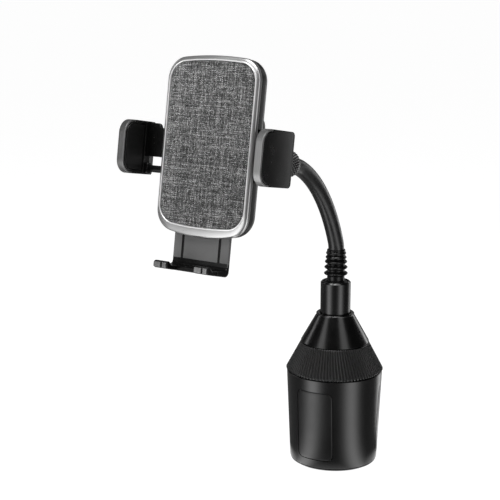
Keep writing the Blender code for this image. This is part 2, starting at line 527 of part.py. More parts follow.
for s, tag in ((1, "right"), (-1, "left")):
    def span(a, b):
        """A range of distances from the centre plane as local Z, which points to the left of the head."""
        return tuple(sorted((-s * a, -s * b)))
    reach = JAW_IN - GAP
    corner = [(reach * s, -9.7), (reach * s, 10.1), (39.4 * s, 10.1), (38.0 * s, 9.2), (37.4 * s, 7.6), (10 * s, 7.6), (10 * s, -9.7)]
    bevel(plate(f"arm_plate_{tag}", [corner], PLATE_N0, PLATE_N1, BLACK, parent=head), 0.3)
    drum(f"arm_rod_{tag}", ROD_R, *span(12.0, reach), BLACK, sides=16, parent=head, at=(0, ROD_V, ROD_N), turn=(0, -90, 0))
    plate(f"arm_rack_{tag}", [rack_outline(-s)], -8.3, -6.3, NYLON, parent=head)
    turn = (0, -90, 0)
    cn = JAW_FRONT - JAW_CORNER
    cv1, cv0 = JAW_TOP - JAW_CORNER, JAW_LOW + JAW_CORNER
    step = cn - 1.5
    def front_path(r, n=6):
        return arc(cn, cv0, r, 270, 360, n) + arc(cn, cv1, r, 0, 90, n)
    wall = [(step, JAW_LOW), (step, JAW_LOW + 1.5)] + front_path(JAW_CORNER - 1.5) + [(step, JAW_TOP - 1.5), (step, JAW_TOP)]
    wall += arc(JAW_REAR + 2.5, JAW_TOP - 2.5, 2.5, 90, 180, 3) + arc(JAW_REAR + 2.5, JAW_LOW + 2.5, 2.5, 180, 270, 3)
    jaw = plate(f"jaw_{tag}", [wall], *span(JAW_IN, JAW_OUT), BLACK, parent=head, turn=turn)
    # behind the arm plate the jaw's inner side slants back to a thin outer edge
    slant = [((JAW_IN - 1.0) * s, PLATE_N0 - 0.3), (JAW_IN * s, PLATE_N0 - 0.3), ((JAW_OUT - 1.4) * s, JAW_REAR - 1.0), ((JAW_IN - 1.0) * s, JAW_REAR - 1.0)]
    combine(jaw, plate(f"jaw_slant_{tag}", [slant], -JAW_TOP - 1.0, -JAW_LOW + 1.0, None, parent=head, turn=(90, 0, 0), cutter=True))
    pad = [(0.6, JAW_LOW + 2.4)] + arc(cn, cv0, JAW_CORNER - 2.6, 270, 360, 5) + arc(cn, cv1, JAW_CORNER - 2.6, 0, 90, 5) + [(0.6, JAW_TOP - 2.6)]
    pocket = [(0.3, JAW_LOW + 2.1)] + arc(cn, cv0, JAW_CORNER - 2.3, 270, 360, 5) + arc(cn, cv1, JAW_CORNER - 2.3, 0, 90, 5) + [(0.3, JAW_TOP - 2.3)]
    combine(jaw, plate(f"jaw_pocket_{tag}", [pocket], *span(JAW_IN - 1.0, JAW_IN + 1.2), None, parent=head, turn=turn, cutter=True))
    plate(f"jaw_pad_{tag}", [pad], *span(JAW_IN - 0.1, JAW_IN + 0.9), RUBBER, parent=head, turn=turn)
    band = ([(step + GAP, JAW_LOW)] + front_path(JAW_CORNER) + [(step + GAP, JAW_TOP), (step + GAP, JAW_TOP - 1.2)]
            + list(reversed(front_path(JAW_CORNER - 1.2))) + [(step + GAP, JAW_LOW + 1.2)])
    plate(f"jaw_trim_{tag}", [band], *span(JAW_IN + 0.3, JAW_OUT - 0.3), TRIM, parent=head, turn=turn)

# ---------------------------------------------------------------- pull-out foot
foot = plate("foot_bracket", [rounded(-FOOT_HALF_W, -70.5, FOOT_HALF_W, FOOT_TOP, 1.0, 2)], -5.5, -3.5, BLACK, parent=head)
root_profile = [(-5.5, -66.0), (-3.5, -66.0), (-3.5, -68.6), (-2.9, -69.9), (-1.6, FOOT_SHELF), (5.4, FOOT_SHELF - 0.1), (5.4, -73.2)] + arc(-2.5, -71.0, 3.0, 270, 180, 4)
shelf = plate("foot_root", [root_profile], -FOOT_HALF_W, FOOT_HALF_W, None, parent=head, turn=(0, -90, 0), cutter=True)
combine(foot, shelf, "UNION")
prong = [(1.0, FOOT_SHELF - 0.05), (9.6, FOOT_SHELF - 0.15), (10.6, -69.4), (11.6, -68.4), (13.4, -68.3), (FOOT_FRONT, -68.9), (FOOT_FRONT, -71.7), (13.0, -72.5), (1.0, -73.55)]
for s, tag in ((1, "right"), (-1, "left")):
    low, high = sorted((-s * 9.8, -s * 19.5))
    combine(foot, plate(f"foot_prong_{tag}", [prong], low, high, None, parent=head, turn=(0, -90, 0), cutter=True), "UNION")
    combine(foot, block(f"foot_groove_{tag}", (13.3 * s - 0.7, -67.2, -4.3), (13.3 * s + 0.7, -30, -3.0), None, parent=head, cutter=True))
    low, high = sorted((10.2 * s, 19.1 * s))
    plate(f"foot_pad_{tag}", [rounded(low, -71.9, high, -68.9, 0.5, 2)], FOOT_FRONT + GAP, FOOT_FRONT + 0.8, RUBBER, parent=head)
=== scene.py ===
import json
import math

import bmesh
import bpy
import numpy as np
from mathutils import Matrix, Vector


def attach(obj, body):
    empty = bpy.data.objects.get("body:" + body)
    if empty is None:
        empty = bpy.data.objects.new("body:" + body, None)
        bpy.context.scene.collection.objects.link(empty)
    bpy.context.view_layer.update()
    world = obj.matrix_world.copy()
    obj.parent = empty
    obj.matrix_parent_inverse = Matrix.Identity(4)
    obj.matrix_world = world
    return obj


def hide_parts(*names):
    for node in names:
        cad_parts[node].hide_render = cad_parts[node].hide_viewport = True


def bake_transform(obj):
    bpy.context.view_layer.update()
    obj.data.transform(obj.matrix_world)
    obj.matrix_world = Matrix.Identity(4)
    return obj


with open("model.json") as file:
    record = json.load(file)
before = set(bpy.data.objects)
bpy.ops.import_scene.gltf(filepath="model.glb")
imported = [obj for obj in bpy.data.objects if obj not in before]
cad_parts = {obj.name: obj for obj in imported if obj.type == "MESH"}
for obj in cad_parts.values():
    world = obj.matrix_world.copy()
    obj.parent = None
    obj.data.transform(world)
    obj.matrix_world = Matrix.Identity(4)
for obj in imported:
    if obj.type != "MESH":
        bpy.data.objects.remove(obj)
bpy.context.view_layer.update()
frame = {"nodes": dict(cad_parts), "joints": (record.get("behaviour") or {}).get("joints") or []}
NODES = frame["nodes"]
JOINTS = {j["name"]: j for j in frame["joints"]}
MM = 0.001

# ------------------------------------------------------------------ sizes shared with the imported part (mm)
BASE_R0, BASE_R1, SHELL_Z0, SHELL_Z1 = 29.8, 32.6, 1.8, 64.0
RING_R0, RING_R1, RING_Z0, RING_Z1 = 33.0, 23.3, 64.6, 83.4
PAD_ANGLES = (-84.0, 36.0, 156.0)
HEAD_TILT, HEAD_ROLL = 10.08, 0.87
HEAD_AT = Vector(JOINTS["pinion_turn"]["pos_m"])
BALL_AT = Vector(JOINTS["head_tilt"]["pos_m"])
HINGES = [Vector(JOINTS[n]["pos_m"]) for n in ("neck_bend_1", "neck_lean", "neck_bend_2", "neck_bend_3")]
HEAD = (Matrix.Translation(HEAD_AT) @ Matrix.Rotation(math.radians(90 - HEAD_TILT), 4, "X")
        @ Matrix.Rotation(math.radians(HEAD_ROLL), 4, "Z"))
BALL = Matrix.Translation(BALL_AT) @ HEAD.to_3x3().to_4x4()
SIDEWAYS = Matrix.Rotation(math.radians(-90), 4, "Y")        # local X -> n, local Y -> v, local Z -> -u
NECK_P = [Vector((0, 0, 150.0)), Vector((0, -6.0, 169.0)), Vector((0, -21.5, 199.0)), Vector((0, -48.9, 209.8))]
NECK_R = 5.3


# ------------------------------------------------------------------ materials
class Shade:
    """A small wrapper that wires procedural nodes to one Principled shader."""

    def __init__(self, name, metallic=0.0, roughness=0.5, specular=0.5, coat=0.0, sheen=0.0, anisotropic=0.0):
        self.m = bpy.data.materials.new(name)
        self.m.use_nodes = True
        self.t = self.m.node_tree
        self.p = self.t.nodes["Principled BSDF"]
        self.p.inputs["Metallic"].default_value = metallic
        self.p.inputs["Roughness"].default_value = roughness
        self.p.inputs["Specular IOR Level"].default_value = specular
        self.p.inputs["Coat Weight"].default_value = coat
        self.p.inputs["Coat Roughness"].default_value = 0.12
        self.p.inputs["Sheen Weight"].default_value = sheen
        self.p.inputs["Sheen Roughness"].default_value = 0.4
        self.p.inputs["Anisotropic"].default_value = anisotropic
        self.c = self.t.nodes.new("ShaderNodeTexCoord").outputs["Object"]

    def node(self, kind, **inputs):
        n = self.t.nodes.new(kind)
        for k, v in inputs.items():
            self.put(n, k, v)
        return n

    def put(self, n, key, v):
        s = n.inputs[int(key[1:])] if key.startswith("i") and key[1:].isdigit() else n.inputs[key]
        if isinstance(v, bpy.types.NodeSocket):
            self.t.links.new(v, s)
        else:
            s.default_value = v

    def math(self, op, a, b=0.0, c=0.0):
        n = self.node("ShaderNodeMath", i0=a, i1=b, i2=c)
        n.operation = op
        return n.outputs[0]

    def stretch(self, sx, sy, sz):
        n = self.node("ShaderNodeMapping", Vector=self.c)
        n.inputs["Scale"].default_value = (sx, sy, sz)
        return n.outputs[0]

    def noise(self, scale, detail=3.0, rough=0.5, vector=None, distortion=0.0):
        n = self.node("ShaderNodeTexNoise", Vector=vector or self.c, Scale=scale, Detail=detail, Roughness=rough, Distortion=distortion)
        return n.outputs["Fac"]

    def ramp(self, fac, stops):
        n = self.node("ShaderNodeValToRGB", Fac=fac)
        e = n.color_ramp.elements
        while len(e) < len(stops):
            e.new(0.5)
        for s, (pos, col) in zip(e, stops):
            s.position = pos
            s.color = (*col, 1.0) if len(col) == 3 else col
        return n.outputs["Color"]

    def span(self, fac, low, high, a=0.3, b=0.7):
        n = self.node("ShaderNodeMapRange", Value=fac)
        n.inputs["From Min"].default_value, n.inputs["From Max"].default_value = a, b
        n.inputs["To Min"].default_value, n.inputs["To Max"].default_value = low, high
        return n.outputs["Result"]

    def bump(self, height, strength, distance, after=None):
        n = self.node("ShaderNodeBump", Height=height)
        n.inputs["Strength"].default_value = strength
        n.inputs["Distance"].default_value = distance
        if after is not None:
            self.t.links.new(after, n.inputs["Normal"])
        return n.outputs["Normal"]

    def out(self, colour=None, roughness=None, normal=None):
        for key, s in (("Base Color", colour), ("Roughness", roughness), ("Normal", normal)):
            if s is not None:
                self.t.links.new(s, self.p.inputs[key])
        return self.m


def grey(v, warm=0.0):
    return (v * (1 + warm), v, v * (1 - warm))


def plastic(name, dark, light, r0, r1, grain=1800.0, grain_bump=0.12, coat=0.0, specular=0.5):
    s = Shade(name, coat=coat, specular=specular)
    cloud = s.noise(45.0, 3.0, 0.6)
    speck = s.noise(grain, 2.0, 0.6)
    scuff = s.noise(1.0, 4.0, 0.7, s.stretch(60.0, 60.0, 900.0), 0.4)
    colour = s.ramp(s.math("ADD", s.math("MULTIPLY", cloud, 0.6), s.math("MULTIPLY", speck, 0.4)),
                    [(0.30, grey(dark)), (0.55, grey((dark + light) / 2)), (0.75, grey(light))])
    rough = s.math("ADD", s.span(s.noise(90.0, 4.0, 0.65), r0, r1), s.math("MULTIPLY", scuff, 0.03))
    nrm = s.bump(speck, grain_bump, 0.00003)
    nrm = s.bump(cloud, 0.04, 0.0002, nrm)
    return s.out(colour, rough, nrm)


M = {}
M["base"] = plastic("satin_black", 0.0016, 0.0036, 0.19, 0.25, 2600.0, 0.08, specular=0.55)
M["base_pad"] = plastic("grip_black", 0.0026, 0.0058, 0.30, 0.38, 3200.0, 0.16)
M["gloss"] = plastic("gloss_black", 0.0016, 0.0036, 0.15, 0.22, 900.0, 0.03, coat=0.0, specular=0.42)
M["jaw"] = plastic("jaw_black", 0.0016, 0.0038, 0.20, 0.27, 2400.0, 0.08)
M["housing"] = plastic("housing_black", 0.0026, 0.0060, 0.32, 0.42, 2000.0, 0.22)
M["foot"] = plastic("foot_satin", 0.090, 0.130, 0.30, 0.40, 2600.0, 0.10, specular=0.7)
M["nylon"] = plastic("nylon_white", 0.52, 0.66, 0.40, 0.52, 1200.0, 0.08)


def rubber(name, dark, light, r0, r1):
    s = Shade(name, specular=0.28)
    grain = s.noise(1500.0, 4.0, 0.7)
    pores = s.node("ShaderNodeTexVoronoi", Vector=s.c, Scale=1100.0).outputs["Distance"]
    dust = s.noise(35.0, 5.0, 0.7, distortion=0.6)
    colour = s.ramp(s.math("ADD", s.math("MULTIPLY", dust, 0.7), s.math("MULTIPLY", grain, 0.3)),
                    [(0.32, grey(dark)), (0.70, grey(light))])
    return s.out(colour, s.span(dust, r0, r1), s.bump(pores, 0.10, 0.00005, s.bump(grain, 0.16, 0.00005)))


M["rubber"] = rubber("matt_rubber", 0.0014, 0.0038, 0.44, 0.58)
M["bellows"] = rubber("bellows_rubber", 0.0020, 0.0050, 0.20, 0.30)


def neck_skin():
    s = Shade("neck_skin", specular=0.5)
    skin = s.noise(240.0, 5.0, 0.62, distortion=0.8)
    fine = s.noise(1500.0, 3.0, 0.6)
    cells = s.node("ShaderNodeTexVoronoi", Vector=s.c, Scale=700.0).outputs["Distance"]
    colour = s.ramp(skin, [(0.30, grey(0.0020)), (0.55, grey(0.0045)), (0.78, grey(0.0095))])
    rough = s.span(skin, 0.26, 0.40)
    return s.out(colour, rough, s.bump(cells, 0.12, 0.00006, s.bump(fine, 0.12, 0.00004)))


M["neck"] = neck_skin()


def satin_metal(name, dark, light, r0, r1, along, metallic=1.0, streak=0.5):
    """Satin or brushed metal: along is the object axis the grain runs on."""
    s = Shade(name, metallic=metallic, anisotropic=0.3 if streak > 0.6 else 0.0)
    scale = [2600.0, 2600.0, 2600.0]
    scale["XYZ".index(along)] = 40.0
    lines = s.noise(1.0, 3.0, 0.6, s.stretch(*scale))
    cloud = s.noise(28.0, 3.0, 0.5)
    mix = s.math("ADD", s.math("MULTIPLY", lines, streak), s.math("MULTIPLY", cloud, 1 - streak))
    colour = s.ramp(mix, [(0.28, grey(dark)), (0.72, grey(light))])
    rough = s.span(mix, r0, r1)
    return s.out(colour, rough, s.bump(lines, 0.10 * streak + 0.02, 0.00003))


M["silver"] = satin_metal("satin_silver", 0.40, 0.50, 0.26, 0.36, "X", metallic=0.85, streak=0.30)
M["lip"] = satin_metal("bright_lip", 0.78, 0.86, 0.30, 0.38, "X", metallic=0.8, streak=0.2)
M["trim"] = satin_metal("brushed_trim", 0.16, 0.26, 0.28, 0.40, "Y", metallic=0.85, streak=0.7)
M["steel"] = satin_metal("machined_steel", 0.46, 0.60, 0.20, 0.32, "X", streak=0.6)
M["screw"] = satin_metal("black_screw", 0.05, 0.10, 0.28, 0.40, "X", streak=0.5)
M["port"] = satin_metal("port_steel", 0.50, 0.66, 0.22, 0.32, "Z", streak=0.6)


def heather():
    """Plain weave of mixed light and dark yarn: every thread has its own shade and thick and thin stretches."""
    s = Shade("heather_fabric", roughness=0.9, specular=0.2, sheen=0.12)
    pitch = 0.00054
    xyz = s.node("ShaderNodeSeparateXYZ", Vector=s.c)
    wobble = s.math("MULTIPLY", s.math("SUBTRACT", s.noise(160.0, 2.0, 0.5), 0.5), 0.5)
    a = s.math("ADD", s.math("DIVIDE", xyz.outputs[0], pitch), wobble)
    b = s.math("ADD", s.math("DIVIDE", xyz.outputs[1], pitch), wobble)
    ia, ib = s.math("FLOOR", a), s.math("FLOOR", b)
    fa, fb = s.math("FRACT", a), s.math("FRACT", b)

    def yarn(across, line, seed):
        """Shade of one yarn set: line is the yarn's number, across runs along the yarn."""
        v = s.node("ShaderNodeCombineXYZ", X=s.math("MULTIPLY", line, 7.31), Y=s.math("MULTIPLY", across, 0.070), Z=seed)
        slub = s.noise(1.0, 2.0, 0.6, v.outputs[0])
        w = s.node("ShaderNodeCombineXYZ", X=s.math("MULTIPLY", line, 3.17), Y=s.math("MULTIPLY", across, 0.62), Z=seed + 4.0)
        fibre = s.noise(1.0, 3.0, 0.7, w.outputs[0])
        own = s.node("ShaderNodeTexWhiteNoise", Vector=s.node("ShaderNodeCombineXYZ", X=line, Y=seed).outputs[0]).outputs["Value"]
        spot = s.node("ShaderNodeTexWhiteNoise", Vector=s.node("ShaderNodeCombineXYZ", X=line, Y=s.math("FLOOR", across), Z=seed).outputs[0]).outputs["Value"]
        mix = s.math("ADD", s.math("MULTIPLY", slub, 0.62), s.math("MULTIPLY", fibre, 0.38))
        mix = s.math("ADD", mix, s.math("MULTIPLY", s.math("SUBTRACT", own, 0.5), 0.125))
        return s.math("ADD", mix, s.math("MULTIPLY", s.math("SUBTRACT", spot, 0.5), 0.17))

    warp, weft = yarn(b, ia, 1.7), yarn(a, ib, 9.3)
    even = s.math("MODULO", s.math("ABSOLUTE", s.math("ADD", ia, ib)), 2.0)
    top = s.math("GREATER_THAN", even, 0.5)
    shade = s.math("ADD", s.math("MULTIPLY", warp, top), s.math("MULTIPLY", weft, s.math("SUBTRACT", 1.0, top)))
    # height: each yarn is round across and dips under its neighbours along
    ha = s.math("SINE", s.math("MULTIPLY", fa, math.pi))
    hb = s.math("SINE", s.math("MULTIPLY", fb, math.pi))
    round_up = s.math("ADD", s.math("MULTIPLY", s.math("MULTIPLY", ha, s.math("ADD", 0.6, s.math("MULTIPLY", hb, 0.4))), top),
                      s.math("MULTIPLY", s.math("MULTIPLY", hb, s.math("ADD", 0.6, s.math("MULTIPLY", ha, 0.4))), s.math("SUBTRACT", 1.0, top)))
    patch = s.noise(70.0, 3.0, 0.6)
    value = s.math("ADD", shade, s.math("MULTIPLY", s.math("SUBTRACT", patch, 0.5), 0.07))
    colour = s.ramp(value, [(0.29, grey(0.008)), (0.42, grey(0.034)), (0.50, grey(0.100)), (0.58, grey(0.22)), (0.69, grey(0.52))])
    # Painted shade: the colour darkens to near black where the yarns dip under their neighbours, in the hollows of the
    # weave.
    edge = s.node("ShaderNodeMix", Factor=s.span(round_up, 0.0, 1.0, 0.0, 0.55))
    edge.data_type = "RGBA"
    edge.blend_type = "MIX"
    edge.inputs[6].default_value = (0.020, 0.020, 0.021, 1)
    s.t.links.new(colour, edge.inputs[7])
    hair = s.noise(5200.0, 3.0, 0.7)
    nrm = s.bump(s.math("ADD", round_up, s.math("MULTIPLY", hair, 0.35)), 0.7, 0.00012)
    return s.out(edge.outputs[2], s.span(hair, 0.82, 0.98), nrm)


M["fabric"] = heather()


def copper():
    s = Shade("copper_winding", metallic=1.0)
    r = s.node("ShaderNodeVectorMath", i0=s.c)
    r.operation = "LENGTH"
    wire = s.math("SINE", s.math("MULTIPLY", r.outputs["Value"], 2 * math.pi / 0.0006))
    # Painted light: each turn of wire is coloured bright on its crest and near black between turns. This is a painted
    # highlight and painted shade that follow the wire's bump.
    colour = s.ramp(s.span(wire, 0, 1, -1, 1), [(0.0, (0.20, 0.07, 0.03)), (0.5, (0.72, 0.34, 0.18)), (1.0, (0.86, 0.50, 0.30))])
    return s.out(colour, s.span(s.noise(300.0), 0.25, 0.4), s.bump(wire, 0.5, 0.0002))


def board():
    s = Shade("board_green", specular=0.5)
    lines = s.node("ShaderNodeTexVoronoi", Vector=s.c, Scale=420.0)
    colour = s.ramp(lines.outputs["Distance"], [(0.05, (0.02, 0.20, 0.09)), (0.4, (0.01, 0.11, 0.05)), (0.8, (0.01, 0.07, 0.03))])
    return s.out(colour, s.span(s.noise(200.0), 0.35, 0.5), s.bump(lines.outputs["Distance"], 0.2, 0.0001))


def ferrite():
    s = Shade("ferrite_tile", specular=0.3)
    g = s.noise(1800.0, 3.0, 0.6)
    return s.out(s.ramp(g, [(0.3, grey(0.03)), (0.7, grey(0.07))]), s.span(g, 0.5, 0.7), s.bump(g, 0.2, 0.0001))


M["copper"], M["board"], M["ferrite"] = copper(), board(), ferrite()


# ------------------------------------------------------------------ mesh helpers (all inputs in mm)
def make(name, verts, faces, mat, matrix=None, smooth=35.0):
    mesh = bpy.data.meshes.new(name)
    mesh.from_pydata([tuple(c * MM for c in v) for v in verts], [], faces)
    bm = bmesh.new()
    bm.from_mesh(mesh)
    bmesh.ops.remove_doubles(bm, verts=bm.verts, dist=2e-7)
    bmesh.ops.recalc_face_normals(bm, faces=bm.faces)
    bm.to_mesh(mesh)
    bm.free()
    mesh.shade_smooth()
    mesh.set_sharp_from_angle(angle=math.radians(smooth))
    mesh.materials.append(mat)
    o = bpy.data.objects.new(name, mesh)
    bpy.context.scene.collection.objects.link(o)
    if matrix is not None:
        o.matrix_world = matrix
    return o


def place(o, body, slot, *replaced):
    if o.get("flat_sides"):
        w = o.modifiers.new("flat sides", "WEIGHTED_NORMAL")
        w.keep_sharp, w.weight = True, 80
        del o["flat_sides"]
    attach(o, body)
    if replaced:
        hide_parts(*replaced)
    return o


def soften(profile, closed):
    """Rounds the corners of a turned profile. Each point is (r, z) or (r, z, fillet)."""
    pts, n = [], len(profile)
    for i, p in enumerate(profile):
        f = p[2] if len(p) > 2 else 0.0
        here = Vector(p[:2])
        if f <= 0 or (not closed and i in (0, n - 1)):
            pts.append(here)
            continue
        a, b = Vector(profile[i - 1][:2]) - here, Vector(profile[(i + 1) % n][:2]) - here
        la, lb = a.length, b.length
        a, b = a / la, b / lb
        half = math.acos(max(-1, min(1, a.dot(b)))) / 2
        cut = min(f / math.tan(half), 0.48 * la, 0.48 * lb)
        f = cut * math.tan(half)
        mid = (a + b)
        if mid.length < 1e-6:
            pts.append(here)
            continue
        c = here + mid.normalized() * (f / math.sin(half))
        s, e = here + a * cut, here + b * cut
        a0, a1 = math.atan2(s.y - c.y, s.x - c.x), math.atan2(e.y - c.y, e.x - c.x)
        d = (a1 - a0 + math.pi) % (2 * math.pi) - math.pi
        steps = 4
        pts += [c + Vector((math.cos(a0 + d * k / steps), math.sin(a0 + d * k / steps))) * f for k in range(steps + 1)]
    return pts


def lathe(name, profile, mat, steps=128, matrix=None, closed=None, shape=None, smooth=35.0):
    """A turned mesh. shape(angle, r, z) may move a point: it returns the new (r, z, extra angle)."""
    closed = profile[0][0] > 0 if closed is None else closed
    pts = soften(profile, closed)
    verts, rows = [], []
    for p in pts:
        if p.x < 1e-6:
            rows.append([len(verts)] * steps)
            verts.append((0, 0, p.y))
            continue
        row = []
        for k in range(steps):
            a = 2 * math.pi * k / steps
            r, z, da = shape(a, p.x, p.y) if shape else (p.x, p.y, 0.0)
            row.append(len(verts))
            verts.append((r * math.cos(a + da), r * math.sin(a + da), z))
        rows.append(row)
    faces = []
    pairs = list(zip(rows, rows[1:])) + ([(rows[-1], rows[0])] if closed else [])
    for a, b in pairs:
        for k in range(steps):
            q = [a[k], a[(k + 1) % steps], b[(k + 1) % steps], b[k]]
            q = [x for i, x in enumerate(q) if x not in q[:i]]
            if len(q) > 2:
                faces.append(q)
    return make(name, verts, faces, mat, matrix, smooth)


def arc(cx, cy, r, a0, a1, n):
    return [(cx + r * math.cos(math.radians(a0 + (a1 - a0) * i / n)),
             cy + r * math.sin(math.radians(a0 + (a1 - a0) * i / n))) for i in range(n + 1)]


def rounded(x0, y0, x1, y1, r, n=8):
    return (arc(x1 - r, y1 - r, r, 0, 90, n) + arc(x0 + r, y1 - r, r, 90, 180, n)
            + arc(x0 + r, y0 + r, r, 180, 270, n) + arc(x1 - r, y0 + r, r, 270, 360, n))


def bowed(half, top, bottom, bow_top, bow_bottom, r, n=14, edge=14):
    def quarter(height, bow):
        lean = 0.0
        for _ in range(10):
            u = half - r + r * math.sin(lean)
            lean = math.atan(2 * bow * u / half ** 2)
        centre = height - bow * (u / half) ** 2 - r * math.cos(lean)
        pts = arc(half - r, centre, r, 0, 90 - math.degrees(lean), n)
        return pts + [(u * (1 - i / edge), height - bow * (u * (1 - i / edge) / half) ** 2) for i in range(1, edge + 1)]
    up, down = quarter(top, bow_top), quarter(bottom, bow_bottom)
    return (up + [(-x, y) for x, y in reversed(up[:-1])]
            + [(-x, -y) for x, y in down] + [(x, -y) for x, y in reversed(down[:-1])])


def inset(loop, d):
    """Moves a closed outline inwards by d along its corners' bisectors."""
    if abs(d) < 1e-9:
        return list(loop)
    pts = [Vector(p) for p in loop]
    n = len(pts)
    area = sum(pts[i].x * pts[(i + 1) % n].y - pts[(i + 1) % n].x * pts[i].y for i in range(n))
    sign = 1 if area > 0 else -1
    out = []
    for i, p in enumerate(pts):
        a, b = p - pts[i - 1], pts[(i + 1) % n] - p
        if a.length < 1e-9:
            a = b
        if b.length < 1e-9:
            b = a
        a, b = a.normalized(), b.normalized()
        na, nb = Vector((-a.y, a.x)) * sign, Vector((-b.y, b.x)) * sign
        m = na + nb
        m = m / max(m.length_squared / 2, 0.35)
        out.append(tuple(p + m * d))
    return out


def stack(name, rings, mat, matrix=None, cap_start=True, cap_end=True, loop_back=False, smooth=35.0):
    """Joins outlines with the same number of points, each given as (outline, height)."""
    verts, faces, n = [], [], len(rings[0][0])
    for outline, z in rings:
        zs = z if hasattr(z, "__len__") else [z] * n
        verts += [(x, y, zz) for (x, y), zz in zip(outline, zs)]
    m = len(rings)
    for i in range(m if loop_back else m - 1):
        a, b = i * n, ((i + 1) % m) * n
        faces += [[a + k, a + (k + 1) % n, b + (k + 1) % n, b + k] for k in range(n)]
    if not loop_back:
        if cap_start:
            faces.append(list(range(n))[::-1])
        if cap_end:
            faces.append(list(range((m - 1) * n, m * n)))
    return make(name, verts, faces, mat, matrix, smooth)


def prism(name, outline, z0, z1, mat, matrix=None, e0=0.4, e1=0.4, steps=3, smooth=35.0):
    """An extruded outline with rounded edges: e0 at z0 and e1 at z1."""
    rings = []
    for k in range(steps + 1):
        a = math.pi / 2 * k / steps
        rings.append((inset(outline, e0 * (1 - math.sin(a))), z0 + e0 * (1 - math.cos(a))))
    for k in range(steps + 1):
        a = math.pi / 2 * k / steps
        rings.append((inset(outline, e1 * (1 - math.cos(a))), z1 - e1 * (1 - math.sin(a))))
    o = stack(name, rings, mat, matrix, smooth=smooth)
    o["flat_sides"] = True
    return o


def cut(target, *cutters, how="DIFFERENCE", smooth=35.0):
    """Applies Boolean cuts and removes the cutters."""
    for c in cutters:
        m = target.modifiers.new("cut", "BOOLEAN")
        m.operation, m.solver, m.object = how, "EXACT", c
    bpy.context.view_layer.update()
    mesh = bpy.data.meshes.new_from_object(target.evaluated_get(bpy.context.evaluated_depsgraph_get()))
    target.modifiers.clear()
    mats = [m for m in target.data.materials]
    target.data = mesh
    mesh.materials.clear()
    mesh.materials.append(mats[0])
    for p in mesh.polygons:
        p.material_index = 0
    mesh.shade_smooth()
    mesh.set_sharp_from_angle(angle=math.radians(smooth))
    for c in cutters:
        bpy.data.objects.remove(c, do_unlink=True)
    target["flat_sides"] = True
    return target


I4 = Matrix.Identity(4)


def shell_r(z):
    return BASE_R0 + (BASE_R1 - BASE_R0) * z / SHELL_Z1


# ------------------------------------------------------------------ cup-holder base
foot_profile = [(0, 1.2), (24.4, 1.2, 0.3), (25.0, 0.6, 0.3), (24.8, 0.0, 0.2)]
for r in (22.5, 19.5, 16.5, 13.5, 10.5):
    foot_profile += [(r + 0.5, 0.0), (r + 0.25, 0.35), (r - 0.25, 0.35), (r - 0.5, 0.0)]
foot_profile += [(0, 0.0)]
place(lathe("non_slip_foot_v", foot_profile, M["rubber"], 96), "base", "black_rubber", "non_slip_foot")
place(lathe("bottom_cap_v", [(0, 3.4), (25.4, 3.4), (25.4, 6.4), (27.5, 6.4), (27.5, 1.5), (29.5, 1.5, 0.2), (29.5, 0.9, 0.4), (29.0, 0.4, 0.2),
                             (25.3, 0.4, 0.15), (25.3, 1.5), (0, 1.5)], M["base"], 128), "base", "black_plastic", "base_bottom_cap")

shell = lathe("base_shell_v", [(shell_r(SHELL_Z1), SHELL_Z1, 0.5), (shell_r(SHELL_Z0), SHELL_Z0, 0.5), (shell_r(SHELL_Z0) - 1.8, SHELL_Z0),
                               (shell_r(SHELL_Z1) - 1.8, SHELL_Z1, 0.3)], M["base"], 180, smooth=30)
PAD_TO_X = Matrix(((0, 0, 1, 0), (1, 0, 0, 0), (0, 1, 0, 0), (0, 0, 0, 1)))      # outline X -> Y, outline Y -> Z, depth -> X
cutters = []
for a in PAD_ANGLES:
    turn = Matrix.Rotation(math.radians(a), 4, "Z")
    cutters.append(prism("window", rounded(-13.0, 7.2, 13.0, 55.8, 4.3, 8), 10, 40, M["base"], turn @ PAD_TO_X, 0, 0, 1))
place(cut(shell, *cutters, smooth=30), "base", "black_plastic", "base_shell")


def curved_pad(name, outline, out0, out1, mat, matrix, edge, steps=14):
    """A plate that follows the base's tapered wall: out0 and out1 are its depths under the wall's surface."""
    verts, faces, n = [], [], len(outline)
    cx = sum(p[0] for p in outline) / n
    cy = sum(p[1] for p in outline) / n

    def put(loop, depth):
        start = len(verts)
        for y, z in loop:
            x = math.sqrt(max(0.0, shell_r(z) ** 2 - y * y)) - depth
            verts.append((x, y, z))
        return start
    rows = []
    shrink = lambda k: [(cx + (x - cx) * k, cy + (y - cy) * k) for x, y in inset(outline, edge)]
    for k in range(1, steps):
        rows.append(put(shrink(k / steps), out0))
    for k in range(4):
        a = math.pi / 2 * k / 3
        rows.append(put(inset(outline, edge * (1 - math.sin(a))), out0 + edge * (1 - math.cos(a))))
    rows.append(put(outline, out1))
    for k in range(steps - 1, 0, -2):
        rows.append(put(shrink(k / steps), out1))
    for a, b in zip(rows, rows[1:]):
        faces += [[a + k, a + (k + 1) % n, b + (k + 1) % n, b + k] for k in range(n)]
    faces.append([rows[0] + k for k in range(n)][::-1])
    faces.append([rows[-1] + k for k in range(n)])
    return make(name, verts, faces, mat, matrix, 40)


def dense(loop, step):
    """Adds points so that no side is longer than step."""
    out = []
    for i, p in enumerate(loop):
        q = loop[(i + 1) % len(loop)]
        d = math.dist(p, q)
        k = max(1, int(math.ceil(d / step)))
        out += [(p[0] + (q[0] - p[0]) * j / k, p[1] + (q[1] - p[1]) * j / k) for j in range(k)]
    return out


pad_loop = dense(rounded(-12.7, 7.5, 12.7, 55.5, 4.0, 8), 2.0)
for i, a in enumerate(PAD_ANGLES):
    turn = Matrix.Rotation(math.radians(a), 4, "Z")
    place(curved_pad(f"pad_grip_{i + 1}_v", pad_loop, 0.0, 1.3, M["base_pad"], turn, 0.45), f"pad_{i + 1}", "black_rubber", f"pad_grip_{i + 1}")

RIBS = 90


